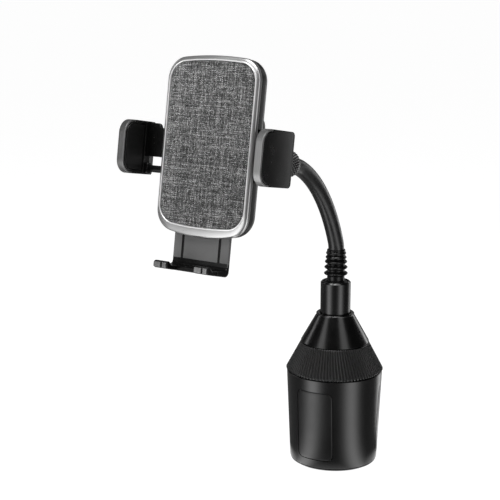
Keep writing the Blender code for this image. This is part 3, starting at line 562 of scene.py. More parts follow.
def ring_shape(a, r, z):
    """Fine ribs down the cone's slope, slightly slanted, fading at the two edges."""
    t = (z - RING_Z0) / (RING_Z1 - RING_Z0)
    on_face = r > RING_R1 - 0.2 and abs(r - (RING_R0 + (RING_R1 - RING_R0) * (z - RING_Z0 - 0.3) / (RING_Z1 - RING_Z0 - 0.3))) < 0.6
    if not on_face:
        return r, z, 0.0
    fade = min(1.0, max(0.0, (t - 0.035) / 0.03)) * min(1.0, max(0.0, (0.985 - t) / 0.03))
    phase = RIBS * (a + 0.055 * t)
    wave = 0.5 + 0.5 * math.cos(phase)
    return r - 0.95 * fade * (1 - wave ** 0.45) * (r / RING_R0), z - 0.25 * fade * (1 - wave), 0.0


def ribbed():
    """The base's plastic, dull in the grooves between the ring's ribs."""
    s = Shade("ribbed_black", specular=0.6)
    xyz = s.node("ShaderNodeSeparateXYZ", Vector=s.c)
    t = s.math("DIVIDE", s.math("SUBTRACT", xyz.outputs[2], RING_Z0 * MM), (RING_Z1 - RING_Z0) * MM)
    a = s.math("ADD", s.math("ARCTAN2", xyz.outputs[1], xyz.outputs[0]), s.math("MULTIPLY", t, 0.055))
    crest = s.math("COSINE", s.math("MULTIPLY", a, float(RIBS)))
    inside = s.math("MULTIPLY", s.math("GREATER_THAN", t, 0.035), s.math("LESS_THAN", t, 0.985))
    groove = s.math("MULTIPLY", s.span(crest, 1.0, 0.0, -0.35, 0.45), inside)
    speck = s.noise(2600.0, 2.0, 0.6)
    rough = s.math("ADD", s.span(s.noise(90.0, 4.0, 0.65), 0.20, 0.28), s.math("MULTIPLY", groove, 0.60))
    return s.out(s.ramp(speck, [(0.3, grey(0.0016)), (0.7, grey(0.0040))]), rough, s.bump(speck, 0.10, 0.00003))


slope = [(RING_R1 + (RING_R0 - RING_R1) * k / 16, RING_Z1 - 0.25 - (RING_Z1 - 0.25 - RING_Z0 - 0.3) * k / 16) for k in range(17)]
ring_profile = [(RING_R1 - 0.3, RING_Z1)] + slope + [(RING_R0 - 0.35, RING_Z0), (27.7, RING_Z0), (27.7, RING_Z0 + 2.4), (29.0, RING_Z0 + 2.4), (RING_R1 - 2.4, RING_Z1)]
place(lathe("knurled_ring_v", ring_profile, ribbed(), RIBS * 8, shape=ring_shape, smooth=60), "ring", "black_plastic", "knurled_ring")

place(lathe("upper_cone_v", [(10.6, 103.7, 0.2), (12.5, 103.8, 0.2), (12.95, 103.3, 0.2), (12.75, 102.7, 0.3), (RING_R1 - 0.05, RING_Z1 + 0.6, 0.25), (RING_R1 - 0.8, RING_Z1 + 0.45),
                             (20.4, 83.8), (20.4, 79.0), (18.8, 79.0), (18.8, 85.0), (10.2, 98.0), (6.5, 98.0), (6.5, 51.7), (4.8, 51.7),
                             (4.8, 100.4), (10.55, 100.4)], M["base"], 160, smooth=40), "base", "black_plastic", "upper_cone")
place(lathe("neck_sleeve_v", [(8.9, 125.8, 0.2), (9.3, 125.75, 0.3), (10.2, 124.7, 0.35), (10.2, 100.8), (5.9, 100.8), (5.9, 122.6), (8.5, 122.6), (8.5, 125.7, 0.15)], M["base"], 96, smooth=40),
      "base", "black_plastic", "neck_sleeve")

# ------------------------------------------------------------------ bellows and neck
bell = [(5.55, 147.6, 0.15), (6.0, 147.4, 0.2), (6.3, 146.6, 0.3)]
for z, r in ((144.9, 6.9), (142.0, 7.15), (139.0, 7.6), (135.2, 7.9), (131.0, 8.1), (125.0, 7.9)):
    low = 5.85 if z > 126 else 6.4
    tall = min(1.25, 1.0 + 0.06 * (146 - z))
    bell += [(5.95, z + tall + 0.35, 0.35), (r - 0.35, z + 0.55, 0.5), (r, z, 0.45), (r - 0.35, z - 0.55, 0.5), (low, z - tall - 0.35, 0.35)]
bell += [(6.4, 123.2), (6.4, 122.9), (5.6, 122.9), (5.6, 108.0), (4.6, 108.0), (4.6, 140.0), (5.45, 144.0), (5.45, 147.6)]
place(lathe("bellows_v", bell, M["bellows"], 72, smooth=60), "base", "black_rubber", "bellows")


def bezier(t):
    s = 1 - t
    return NECK_P[0] * s ** 3 + NECK_P[1] * 3 * s * s * t + NECK_P[2] * 3 * s * t * t + NECK_P[3] * t ** 3


C0 = 13.2
END_DIR = (BALL_AT / MM - HINGES[-1] / MM).normalized()
collar_start = HINGES[-1] / MM + END_DIR * (C0 + 0.5)
FINE = [Vector((0, 0, 144.5 + 0.05 * i)) for i in range(110)] + [bezier(i / 800) for i in range(790)]
FINE += [FINE[-1].lerp(collar_start, i / 80) for i in range(1, 81)]
reach = [0.0]
for p, q in zip(FINE, FINE[1:]):
    reach.append(reach[-1] + (q - p).length)


def on_neck(s):
    """Point and direction at distance s along the neck, with the bend where it leaves the bellows eased."""
    def at(x):
        x = max(0.0, min(reach[-1], x))
        i = min(len(reach) - 2, int(np.searchsorted(reach, x, "right")) - 1)
        return FINE[i].lerp(FINE[i + 1], (x - reach[i]) / max(1e-9, reach[i + 1] - reach[i]))
    w = 2.5 if s > 3 else 0.5
    p = (at(s - w) + at(s - w / 2) + at(s) * 2 + at(s + w / 2) + at(s + w)) / 6 if 3 < s < reach[-1] - 3 else at(s)
    d = (at(s + 0.8) - at(s - 0.8)).normalized()
    return p, d


def near(point):
    """Distance along the neck nearest to a point."""
    return reach[int(np.argmin([(p - point).length for p in FINE]))]


def tube(name, s0, s1, mat, radius=NECK_R, sides=56, step=0.8):
    n = max(2, int(round((s1 - s0) / step)))
    verts, faces, m = [], [], sides
    for i in range(n + 1):
        p, d = on_neck(s0 + (s1 - s0) * i / n)
        x = Vector((1, 0, 0))
        y = d.cross(x).normalized()
        for k in range(m):
            a = 2 * math.pi * k / m
            verts.append(p + (x * math.cos(a) + y * math.sin(a)) * radius)
    for i in range(n):
        faces += [[i * m + k, i * m + (k + 1) % m, (i + 1) * m + (k + 1) % m, (i + 1) * m + k] for k in range(m)]
    faces += [list(range(m))[::-1], list(range(n * m, n * m + m))]
    return make(name, [tuple(v) for v in verts], faces, mat, None, 50)


marks = [near(h / MM) for h in HINGES]
cuts = [0.0] + [(a + b) / 2 for a, b in zip(marks, marks[1:])] + [reach[-1]]
stood = ["neck_segment_1", "neck_segment_2", "neck_segment_3", "neck_end_core"]
for i in range(4):
    skin = tube(f"neck_skin_{i + 1}", cuts[i], cuts[i + 1], M["neck"])
    span = min(marks[i] - cuts[i], cuts[i + 1] - marks[i]) - 0.6
    span = min(span, 10.0)
    lo, hi = max(cuts[i] + 0.2, marks[i] - span), min(cuts[i + 1] - 0.2, marks[i] + span)
    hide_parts(stood[i])
    tuple(on_neck(lo)[0] * MM)
    tuple(on_neck(hi)[0] * MM)
    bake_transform(skin)

# neck end: knurled collar and ball stud
z = END_DIR
x = (Vector((1, 0, 0)) - z * z.x).normalized()
END = Matrix.Translation(HINGES[-1]) @ Matrix((x, z.cross(x), z)).transposed().to_4x4()
END_LEN = (BALL_AT - HINGES[-1]).length / MM
C1 = END_LEN - 24.3
KNURLS = 30


def diamond(a, r, z):
    """Crossed helical grooves, fading out at the collar's smooth bands."""
    if r < 5.0:
        return r, z, 0.0
    fade = min(1.0, max(0.0, (z - C0 - 0.8) / 0.8)) * min(1.0, max(0.0, (C1 - 1.6 - z) / 0.6))
    k = 0.62
    p, q = KNURLS * a + z * k * 3.0, KNURLS * a - z * k * 3.0
    h = min(abs((p / (2 * math.pi)) % 1 - 0.5), abs((q / (2 * math.pi)) % 1 - 0.5)) * 4
    return r - 0.38 * fade * (1 - min(1.0, h)), z, 0.0


length = C1 - C0
side = []
for k in range(int(length / 0.28) + 1):
    zz = C1 - 0.9 - k * 0.28
    t = (zz - C0) / 7.6
    if t < 0.02:
        break
    r = 9.0 if t >= 1 else 5.7 + (9.0 - 5.7) * math.sin(math.pi / 2 * t) ** 1.1
    side.append((r, zz))
collar = [(8.0, C1, 0.3)] + [(8.9, C1 - 0.35)] + side + [(5.65, C0), (4.2, C0), (4.2, C1)]
place(lathe("knurled_collar_v", collar, M["base"], KNURLS * 12, END, closed=True, shape=diamond, smooth=60), "neck_end", "black_plastic", "knurled_collar")
stud = [(max(0.0, 8.5 * math.sin(math.radians(a))), END_LEN + 8.5 * math.cos(math.radians(a))) for a in np.linspace(0, 159.5, 40)]
stud += [(3.0, END_LEN - 13.4, 1.5), (4.2, END_LEN - 15.6, 2.0), (8.5, END_LEN - 22.2, 0.8), (8.5, C1 + 0.3, 0.2), (0, C1 + 0.3)]
place(lathe("ball_stud_v", stud, M["steel"], 72, END, smooth=40), "neck_end", "steel", "ball_stud")

# ------------------------------------------------------------------ ball joint
def ball_arc(r, a0, a1, n):
    return [(r * math.sin(math.radians(a0 + (a1 - a0) * i / n)), r * math.cos(math.radians(a0 + (a1 - a0) * i / n))) for i in range(n + 1)]


place(lathe("socket_liner_v", ball_arc(9.6, 96, 118, 8) + ball_arc(8.8, 118, 96, 8), M["nylon"], 72, BALL, smooth=50), "liner", "nylon", "socket_liner")
place(lathe("pressure_cup_v", ball_arc(9.6, 14, 68, 14) + ball_arc(8.8, 68, 14, 14), M["nylon"], 72, BALL, smooth=50), "cup", "nylon", "pressure_cup")
place(lathe("ball_socket_v", [(15.0, 16.7, 0.2), (15.0, 14.7, 0.5), (12.0, 14.4, 0.3), (12.0, 0.9, 0.2), (11.6, 0.5, 0.1)] + ball_arc(9.9, 88, 16, 20) + [(2.7, 16.7)],
            M["housing"], 96, BALL, smooth=40), "head", "black_plastic", "ball_socket")
FLUTES = 14


def fluted(a, r, z):
    """Finger grips round the nut."""
    if r < 12.6 or z < -2.0:
        return r, z, 0.0
    fade = min(1.0, max(0.0, (10.6 - z) / 1.2)) * min(1.0, max(0.0, (z + 1.2) / 1.2))
    w = 0.5 + 0.5 * math.cos(FLUTES * a)
    return r - 0.75 * fade * (1 - w ** 0.45), z, 0.0


nut_side = [(14.2, zz) for zz in np.linspace(10.9, -1.0, 26)]
place(lathe("lock_nut_v", [(12.9, 11.6, 0.2), (13.7, 11.5, 0.2)] + nut_side + [(13.4, -2.9, 0.6), (11.4, -6.6, 0.5), (8.7, -6.6, 0.1)] + ball_arc(9.9, 127, 94, 10) + [(12.3, -0.2), (12.3, 11.6)],
            M["housing"], FLUTES * 16, BALL, shape=fluted, smooth=50), "nut", "black_plastic", "lock_nut")

# ------------------------------------------------------------------ head
W, TOP, BOTTOM = 32.8, 50.6, 53.5
outer = bowed(W, TOP, BOTTOM, 2.6, 4.6, 13.0)
face = bowed(30.1, 47.6, 47.6, 2.1, 2.1, 11.0)


def between(a, b, t):
    return [(p[0] + (q[0] - p[0]) * t, p[1] + (q[1] - p[1]) * t) for p, q in zip(a, b)]


lip_out = inset(face, -0.55)
rings = [(inset(outer, 0.5), -3.2), (inset(outer, 0.15), -3.12), (outer, -2.9), (outer, -1.7), (inset(outer, 0.10), -1.2), (inset(outer, 0.35), -0.78), (inset(outer, 0.75), -0.46),
         (inset(outer, 1.2), -0.24), (between(outer, lip_out, 0.80), 0.02), (inset(face, -0.72), 0.06), (inset(face, -0.64), 0.0),
         (inset(face, -0.64), -1.2), (inset(face, -0.64), -3.2)]
bezel = stack("bezel_v", rings, M["silver"], HEAD, loop_back=True, smooth=32)
place(bezel, "head", "satin_silver", "bezel")
lip_rings = [(inset(face, -0.92), -1.4), (inset(face, -0.92), 0.0), (inset(face, -0.84), 0.14), (inset(face, -0.68), 0.26), (inset(face, -0.46), 0.31), (inset(face, -0.24), 0.26), (inset(face, -0.10), 0.14),
             (inset(face, -0.05), -0.02), (inset(face, -0.05), -1.4)]
place(stack("bezel_lip", lip_rings, M["lip"], HEAD, loop_back=True, smooth=70), "head", "satin_silver")

edge_loop = inset(face, 0.02)
fabric_rings = [(edge_loop, -0.62)] + [(inset(face, 0.02 + 1.5 * (1 - math.cos(a))), -0.62 + 0.60 * math.sin(a)) for a in (0.3, 0.6, 0.9, 1.2, math.pi / 2)]
verts, faces = [], []
n = len(edge_loop)
for loop, zz in fabric_rings:
    verts += [(px, py, zz) for px, py in loop]
for i in range(len(fabric_rings) - 1):
    faces += [[i * n + k, i * n + (k + 1) % n, (i + 1) * n + (k + 1) % n, (i + 1) * n + k] for k in range(n)]
faces.append(list(range((len(fabric_rings) - 1) * n, len(fabric_rings) * n)))
fabric = make("fabric_face_v", verts, faces, M["fabric"], HEAD, 60)
thick = fabric.modifiers.new("cloth", "SOLIDIFY")
thick.thickness, thick.offset = 0.0004, -1.0
place(fabric, "head", "heather_fabric", "fabric_face")

# rear cover: rounded tray with slots for the arms, the rods and the foot
back_out = bowed(W - 0.2, TOP - 0.2, BOTTOM - 0.2, 2.6, 4.6, 12.8)
rings = [(inset(back_out, 0.25), -3.5), (back_out, -3.75), (back_out, -6.3)]
for k in range(1, 9):
    a = math.pi / 2 * k / 8
    rings.append((inset(back_out, 6.0 * (1 - math.cos(a))), -6.3 - 6.0 * math.sin(a)))
inner_rings = [(inset(back_out, 1.6), -3.5), (inset(back_out, 1.6), -6.3)]
for k in range(1, 7):
    a = math.pi / 2 * k / 6
    inner_rings.append((inset(back_out, 1.6 + 4.4 * (1 - math.cos(a))), -6.3 - 4.4 * math.sin(a)))
verts, faces = [], []
n = len(back_out)
for loop, zz in rings + inner_rings:
    verts += [(px, py, zz) for px, py in loop]
R, Q = len(rings), len(inner_rings)
for i in range(R - 1):
    faces += [[i * n + k, i * n + (k + 1) % n, (i + 1) * n + (k + 1) % n, (i + 1) * n + k] for k in range(n)]
faces.append([(R - 1) * n + k for k in range(n)])
for i in range(R, R + Q - 1):
    faces += [[i * n + k, i * n + (k + 1) % n, (i + 1) * n + (k + 1) % n, (i + 1) * n + k] for k in range(n)]
faces.append([(R + Q - 1) * n + k for k in range(n)])
faces += [[k, (k + 1) % n, R * n + (k + 1) % n, R * n + k] for k in range(n)]
cover = make("rear_cover_v", verts, faces, M["housing"], HEAD, 40)
tools = []
for s in (1, -1):
    lo, hi = sorted((27.0 * s, 37.0 * s))
    tools.append(prism("slot_a", rounded(lo, -10.2, hi, 10.6, 0.6, 3), -6.3, 2, M["housing"], HEAD, 0, 0, 1))
    lo, hi = sorted((24.0 * s, 37.0 * s))
    tools.append(prism("slot_b", rounded(lo, -19.4, hi, -14.4, 0.6, 3), -8.6, 2, M["housing"], HEAD, 0, 0, 1))
tools.append(prism("slot_c", rounded(-20.4, -58, 20.4, -42, 0.6, 3), -5.9, 2, M["housing"], HEAD, 0, 0, 1))
screws = [(-21.5, 36.0), (21.5, 36.0), (-21.5, -38.0), (21.5, -38.0)]
for u, v in screws:
    tools.append(prism("hole", arc(u, v, 2.5, 0, 360, 32)[:-1], -20, -9, M["housing"], HEAD, 0, 0, 1))
tools.append(prism("hole", arc(0, 0, 5.0, 0, 360, 32)[:-1], -20, -9, M["housing"], HEAD, 0, 0, 1))
place(cut(cover, *tools, smooth=40), "head", "black_plastic", "rear_cover")

for i, (u, v) in enumerate(screws):
    at = HEAD @ Matrix.Translation((u * MM, v * MM, 0))
    s = lathe(f"cover_screw_{i + 1}_v", [(0, -5.6), (1.1, -5.6, 0.2), (1.1, -10.7), (2.2, -10.7, 0.1), (2.2, -11.6, 0.3), (1.5, -12.0, 0.3), (0, -12.05)], M["screw"], 40, at)
    a = prism("cross", rounded(-1.35, -0.28, 1.35, 0.28, 0.2, 3), -13, -11.3, M["screw"], at, 0, 0, 1)
    b = prism("cross", rounded(-0.28, -1.35, 0.28, 1.35, 0.2, 3), -13, -11.3, M["screw"], at, 0, 0, 1)
    place(cut(s, a, b), "head", "steel", f"cover_screw_{i + 1}")

# rear boss with the charging port
boss_out = rounded(-23, -25, 23, 21, 9, 12)
rings = [(boss_out, -12.6), (boss_out, -22.6)]
for k in range(1, 7):
    a = math.pi / 2 * k / 6
    rings.append((inset(boss_out, 4.4 * (1 - math.cos(a))), -22.6 - 4.4 * math.sin(a)))
inner_rings = [(inset(boss_out, 1.8), -12.6), (inset(boss_out, 1.8), -22.6)]
for k in range(1, 5):
    a = math.pi / 2 * k / 4
    inner_rings.append((inset(boss_out, 1.8 + 2.6 * (1 - math.cos(a))), -22.6 - 2.6 * math.sin(a)))
verts, faces = [], []
n = len(boss_out)
for loop, zz in rings + inner_rings:
    verts += [(px, py, zz) for px, py in loop]
R, Q = len(rings), len(inner_rings)
for lo, hi in ((0, R - 1), (R, R + Q - 1)):
    for i in range(lo, hi):
        faces += [[i * n + k, i * n + (k + 1) % n, (i + 1) * n + (k + 1) % n, (i + 1) * n + k] for k in range(n)]
    faces.append([hi * n + k for k in range(n)])
faces += [[k, (k + 1) % n, R * n + (k + 1) % n, R * n + k] for k in range(n)]
boss = make("rear_boss_v", verts, faces, M["housing"], HEAD, 40)
down = HEAD @ Matrix.Translation((0, 0, -20.0 * MM)) @ Matrix.Rotation(math.radians(90), 4, "X")
port = prism("port", rounded(-4.9, -2.05, 4.9, 2.05, 1.9, 6), 18, 32, M["housing"], down, 0, 0, 1)
wire = prism("wire", arc(0, 0, 2.6, 0, 360, 24)[:-1], -34, -20, M["housing"], HEAD, 0, 0, 1)
place(cut(boss, port, wire, smooth=40), "head", "black_plastic", "rear_boss")
usb = prism("usb_c_socket_v", rounded(-4.47, -1.63, 4.47, 1.63, 1.6, 8), 17.4, 24.6, M["port"], down, 0.1, 0.15, 2)
bore = prism("bore", rounded(-4.15, -1.31, 4.15, 1.31, 1.29, 8), 18.4, 26, M["port"], down, 0, 0, 1)
place(cut(usb, bore), "head", "steel", "usb_c_socket")
place(prism("usb_c_tongue", rounded(-3.3, -0.35, 3.3, 0.35, 0.2, 3), 18.3, 23.8, M["housing"], down, 0.1, 0.15, 2), "head", "black_plastic")

# ------------------------------------------------------------------ arms and jaws
SIDE = HEAD @ SIDEWAYS
CN, CV1, CV0 = 9.5, 2.8, -12.6


def front_path(r, n=14):
    return arc(CN, CV0, r, 270, 360, n) + arc(CN, CV1, r, 0, 90, n)


for s, tag in ((1, "right"), (-1, "left")):
    body = f"{tag}_jaw"

    def span(a, b):
        return tuple(sorted((-s * a, -s * b)))

    outline = [(45.9 * s, -9.7), (45.9 * s, 10.1), (39.6 * s, 10.1), (38.7 * s, 9.75), (38.0 * s, 9.1), (37.6 * s, 8.3), (37.4 * s, 7.5), (10 * s, 7.5), (10 * s, -9.7)]
    place(prism(f"arm_plate_{tag}_v", outline, -5.9, -3.9, M["jaw"], HEAD, 0.25, 0.35), body, "black_plastic", f"arm_plate_{tag}")
    lo, hi = span(12.0, 45.9)
    rod_at = SIDE @ Matrix.Translation((-6.1 * MM, -16.9 * MM, 0))
    place(lathe(f"arm_rod_{tag}_v", [(0, hi), (2.1, hi, 0.3), (2.1, lo, 0.3), (0, lo)], M["jaw"], 48, rod_at), body, "black_plastic", f"arm_rod_{tag}")
    e_out, e_in = 0.40, 0.35
    wall = [(8.0, -20.6), (8.0, -19.1)] + front_path(6.5) + [(8.0, 9.3), (8.0, 10.8)]
    wall += arc(-11.1, 8.3, 2.5, 90, 180, 8) + arc(-11.1, -18.1, 2.5, 180, 270, 8)
    lo, hi = span(46.2, 51.5)
    e0, e1 = (e_out, e_in) if s > 0 else (e_in, e_out)      # local Z runs to the left, so the right jaw's outer face is at its lower end
    jaw = prism(f"jaw_{tag}_v", wall, lo, hi, M["jaw"], SIDE, e0, e1, 4)
    pocket = [(0.3, -18.5)] + arc(CN, CV0, 5.7, 270, 360, 8) + arc(CN, CV1, 5.7, 0, 90, 8) + [(0.3, 8.5)]
    a, b = span(45.0, 47.4)
    slant = [(45.2 * s, -6.2), (46.2 * s, -6.2), (46.7 * s, -6.9), (50.1 * s, -14.6), (45.2 * s, -14.6)]
    slant_at = HEAD @ Matrix.Rotation(math.radians(90), 4, "X")
    jaw = cut(jaw, prism("pocket", pocket, a, b, M["jaw"], SIDE, 0, 0, 1), prism("slant", slant, -12, 22, M["jaw"], slant_at, 0, 0, 1))
    place(jaw, body, "black_plastic", f"jaw_{tag}")
    bm = bmesh.new()
    bm.from_mesh(jaw.data)
    for k in range(-12, 18, 2):
        bmesh.ops.bisect_plane(bm, geom=list(bm.verts) + list(bm.edges) + list(bm.faces), dist=1e-7, plane_co=(k * MM, 0, 0), plane_no=(1, 0, 0))
    for vert in bm.verts:
        n_at, side = vert.co.x / MM, abs(vert.co.z) / MM
        if side > 50.6:
            vert.co.z -= math.copysign(0.55 * MM * min(1.0, abs(n_at - 3.0) / 15.5) ** 2, vert.co.z)
    bm.to_mesh(jaw.data)
    bm.free()
    jaw.data.shade_smooth()
    jaw.data.set_sharp_from_angle(angle=math.radians(38))
    # raised line that closes the pad's recess, and the boss that carries the rod
    a, b = span(45.75, 46.4)
    place(prism(f"jaw_line_{tag}", rounded(-1.15, -19.9, -0.45, 10.1, 0.3, 4), a, b, M["jaw"], SIDE, 0.2, 0.2), body, "black_plastic")
    a, b = span(44.3, 46.3)
    place(prism(f"jaw_boss_{tag}", rounded(-6.1, -19.9, -2.4, -13.6, 1.0, 5), a, b, M["jaw"], SIDE, 0.3, 0.3), body, "black_plastic")
    pad = [(0.6, -18.2)] + arc(CN, CV0, 5.4, 270, 360, 8) + arc(CN, CV1, 5.4, 0, 90, 8) + [(0.6, 8.2)]
    a, b = span(46.1, 47.1)
    pad_o = prism(f"jaw_pad_{tag}_v", pad, a, b, M["rubber"], SIDE, 0.25, 0.25)
    ribs = []
    for k in range(7):
        v0 = -16.2 + 3.6 * k
        c, d = span(45.5, 46.35)
        ribs.append(prism("rib", rounded(2.0, v0, 13.2, v0 + 0.8, 0.39, 4), c, d, M["rubber"], SIDE, 0, 0, 1))
    place(cut(pad_o, *ribs), body, "black_rubber", f"jaw_pad_{tag}")
    band = ([(8.3, -20.6)] + front_path(8.0) + [(8.3, 10.8), (8.3, 9.6)] + list(reversed(front_path(6.8))) + [(8.3, -19.4)])
    a, b = span(46.5, 51.2)
    place(prism(f"jaw_trim_{tag}_v", band, a, b, M["trim"], SIDE, 0.3, 0.3), body, "grey_trim", f"jaw_trim_{tag}")

# ------------------------------------------------------------------ foot
plate = prism("foot_plate_v", rounded(-20, -70.6, 20, -34, 1.0, 4), -5.5, -3.5, M["foot"], HEAD, 0.3, 0.35)
tools = [prism("groove", rounded(13.3 * s - 0.9, -67.2, 13.3 * s + 0.9, -30, 0.8, 5), -4.3, -3.0, M["foot"], HEAD, 0, 0, 1) for s in (1, -1)]
place(cut(plate, *tools), "foot", "black_plastic", "foot_bracket")
for s in (1, -1):
    # Painted shade: a thin dark rubber sheet at the floor of each groove in the foot plate makes the groove read dark.
    place(prism(f"foot_groove_painted_shade_{'right' if s > 0 else 'left'}", rounded(13.3 * s - 0.86, -67.15, 13.3 * s + 0.86, -34.3, 0.78, 5), -4.5, -4.22, M["rubber"], HEAD, 0.05, 0.05), "foot", "black_plastic")
root = [(-5.5, -66.5), (-3.5, -66.5), (-3.45, -68.4), (-3.2, -69.3), (-2.6, -70.0), (-1.6, -70.35), (1.0, -70.42), (5.4, -70.5), (5.7, -70.9), (5.7, -72.9), (5.3, -73.3)] + arc(-2.5, -71.0, 3.0, 270, 180, 10)
place(prism("foot_root_v", root, -20, 20, M["gloss"], SIDE, 0.45, 0.45), "foot", "black_plastic")
prong = [(2.0, -70.42), (9.0, -70.55), (9.9, -70.2), (10.6, -69.3), (11.2, -68.6), (11.9, -68.25), (13.2, -68.25), (13.8, -68.5), (14.0, -69.0), (14.0, -71.6), (13.7, -72.2), (13.0, -72.55), (8.0, -73.1), (2.0, -73.35)]
for s, tag in ((1, "right"), (-1, "left")):
    lo, hi = sorted((-s * 9.8, -s * 19.5))
    place(prism(f"foot_prong_{tag}_v", prong, lo, hi, M["gloss"], SIDE, 0.5, 0.5), "foot", "black_plastic")
    u0 = 10.2 if s > 0 else -19.1
    whole = prism(f"foot_pad_{tag}_v", rounded(u0, -71.9, u0 + 8.9, -68.9, 0.5, 4), 14.05, 14.8, M["trim"], HEAD, 0.05, 0.2)
    gap_tool = prism("gap", rounded(u0 + 5.0, -73, u0 + 6.4, -67, 0.1, 2), 14.3, 15.2, M["trim"], HEAD, 0, 0, 1)
    place(cut(whole, gap_tool), "foot", "black_rubber", f"foot_pad_{tag}")
    # Painted shade: a dark gloss sliver at the floor of the gap in each foot pad makes the gap read dark.
    place(prism(f"foot_pad_groove_{tag}", rounded(u0 + 5.1, -71.8, u0 + 6.3, -69.0, 0.1, 2), 14.0, 14.36, M["gloss"], HEAD, 0.02, 0.02), "foot", "black_plastic")

# ------------------------------------------------------------------ finishes of the carried-over solids
FINISH = {"copper": ["charging_coil"], "ferrite": ["ferrite_sheet"], "board": ["circuit_board"], "steel": ["centre_column", "neck_root", "pinion_pin"],
          "nylon": ["slide_frame_lower", "slide_frame_upper", "cam_disc", "pinion", "arm_rack_left", "arm_rack_right"],
          "base": ["front_plate", "pad_carrier_1", "pad_carrier_2", "pad_carrier_3"]}
for key, names in FINISH.items():
    for name in names:
        o = NODES[name]
        o.data.materials.clear()
        o.data.materials.append(M[key])

# ------------------------------------------------------------------ stage, light and camera
CAM = Vector((0.4390, -0.7028, 0.3305))
LOOK = Vector((-0.04649, -0.03461, 0.14697))
view_dir = (LOOK - CAM).normalized()
right = view_dir.cross(Vector((0, 0, 1))).normalized()
fwd = Vector((view_dir.x, view_dir.y, 0)).normalized()

fs = Shade("pale_floor", roughness=0.9, specular=0.05)
fs.p.inputs["Base Color"].default_value = (0.16, 0.16, 0.16, 1)
fs.p.inputs["Emission Strength"].default_value = 1.0
xyz = fs.node("ShaderNodeSeparateXYZ", Vector=fs.c)
angle = fs.math("ARCTAN2", xyz.outputs[0], xyz.outputs[1])      # round the base, 0 towards the viewer's side of the floor


# Painted light: the floor glows in soft pools that only reflection and bounce rays see. They stand in for lamps.
def painted_glow_pool(at, wide, level):
    t = fs.math("DIVIDE", fs.math("SUBTRACT", angle, math.radians(at)), math.radians(wide))
    return fs.math("MULTIPLY", fs.math("EXPONENT", fs.math("MULTIPLY", fs.math("MULTIPLY", t, t), -1.0)), level)


# Painted glow pools at the two sides in front of the part and behind it, and a painted glowing ring round the base's
# foot, which show in the black parts' reflections.
front_glow_pools = fs.math("ADD", fs.math("ADD", painted_glow_pool(-53.0, 16.0, 1.05), painted_glow_pool(35.0, 16.0, 0.85)), 0.006)
rear_glow_pools = fs.math("ADD", fs.math("ADD", painted_glow_pool(180.0, 26.0, 0.07), painted_glow_pool(-180.0, 26.0, 0.07)), painted_glow_pool(128.0, 12.0, 0.62))
foot_glow_ring = fs.node("ShaderNodeVectorMath", i0=fs.c)
foot_glow_ring.operation = "LENGTH"
foot_glow_ring = fs.span(foot_glow_ring.outputs["Value"], 0.45, 0.0, 0.031, 0.044)
glow = fs.math("MAXIMUM", fs.math("MAXIMUM", front_glow_pools, rear_glow_pools), foot_glow_ring)
# Camera rays see the floor evenly pale. Every other ray sees the painted glow.
seen = fs.node("ShaderNodeLightPath").outputs["Is Camera Ray"]
glow = fs.math("ADD", fs.math("MULTIPLY", glow, fs.math("SUBTRACT", 1.0, seen)), fs.math("MULTIPLY", seen, 0.325))
fs.t.links.new(fs.ramp(glow, [(0.0, grey(0.0)), (1.0, grey(1.0))]), fs.p.inputs["Emission Color"])
fs.p.inputs["Emission Strength"].default_value = 3.0
mesh = bpy.data.meshes.new("floor")
mesh.from_pydata([(-40, -40, 0), (40, -40, 0), (40, 40, 0), (-40, 40, 0)], [], [(0, 1, 2, 3)])
mesh.materials.append(fs.m)
floor = bpy.data.objects.new("floor", mesh)
bpy.context.scene.collection.objects.link(floor)
floor.matrix_world = Matrix.Translation((0, 0, -0.0002)) @ Matrix((right, -fwd, Vector((0, 0, 1)))).transposed().to_4x4()

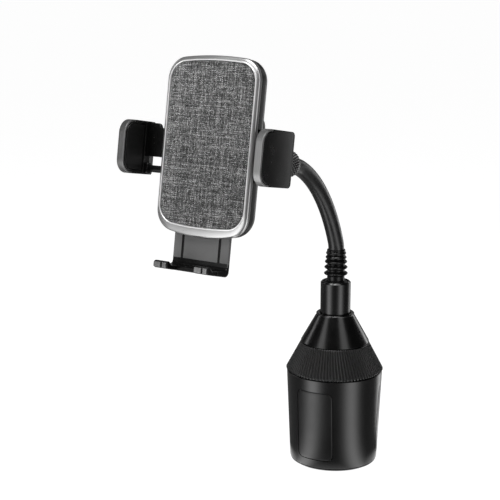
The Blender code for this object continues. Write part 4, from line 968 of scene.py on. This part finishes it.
world = bpy.data.worlds.new("studio")
world.use_nodes = True
bpy.context.scene.world = world
wt = world.node_tree
where = wt.nodes.new("ShaderNodeTexCoord").outputs["Generated"]
dot = wt.nodes.new("ShaderNodeVectorMath")
dot.operation = "DOT_PRODUCT"
wt.links.new(where, dot.inputs[0])
dot.inputs[1].default_value = fwd
rise = wt.nodes.new("ShaderNodeMapRange")
rise.interpolation_type = "SMOOTHSTEP"
wt.links.new(dot.outputs["Value"], rise.inputs["Value"])
rise.inputs["From Min"].default_value, rise.inputs["From Max"].default_value = 0.70, 1.0
rise.inputs["To Min"].default_value, rise.inputs["To Max"].default_value = 0.02, 0.22
path = wt.nodes.new("ShaderNodeLightPath")
room = wt.nodes.new("ShaderNodeMath")
room.operation = "MAXIMUM"
wt.links.new(path.outputs["Is Camera Ray"], room.inputs[0])
wt.links.new(rise.outputs["Result"], room.inputs[1])
wt.links.new(room.outputs[0], wt.nodes["Background"].inputs["Strength"])
wt.nodes["Background"].inputs["Color"].default_value = (1.0, 1.0, 1.0, 1)

mid = Vector((0, -0.04, 0.14))


def lamp(name, turn, rise, far, size, size_y, level):
    """A soft panel: turn and rise are its direction from the middle of the part, seen from the viewer's side, and level its brightness."""
    d = -fwd * math.cos(math.radians(turn)) + right * math.sin(math.radians(turn))
    d = d * math.cos(math.radians(rise)) + Vector((0, 0, math.sin(math.radians(rise))))
    light = bpy.data.lights.new(name, "AREA")
    light.shape, light.size, light.size_y = "RECTANGLE", size, size_y
    light.energy = level * size * size_y * math.pi
    o = bpy.data.objects.new(name, light)
    bpy.context.scene.collection.objects.link(o)
    o.location = mid + d * far
    o.rotation_euler = (-d).to_track_quat("-Z", "Y").to_euler()
    return o


lamp("strip_left", -54, 24, 0.95, 0.42, 0.75, 1.9)
lamp("strip_right", 34, 28, 0.95, 0.40, 0.70, 1.6)
lamp("cloth_light", -40, 68, 1.00, 0.60, 0.60, 7.5)
lamp("cone_light", 36, 64, 1.00, 0.36, 0.36, 3.2)
lamp("rim_left", -118, 12, 0.95, 0.16, 0.80, 2.2)
lamp("rim_right", 136, 6, 0.95, 0.22, 0.80, 1.8)

cam = bpy.data.cameras.new("camera")
cam.sensor_width, cam.lens = 36.0, 90.68
cam.clip_start, cam.clip_end = 0.05, 200.0
camera = bpy.data.objects.new("camera", cam)
bpy.context.scene.collection.objects.link(camera)
camera.location = CAM
camera.rotation_euler = (LOOK - CAM).to_track_quat("-Z", "Y").to_euler()
bpy.context.scene.camera = camera
bpy.context.scene.view_settings.view_transform = "Standard"
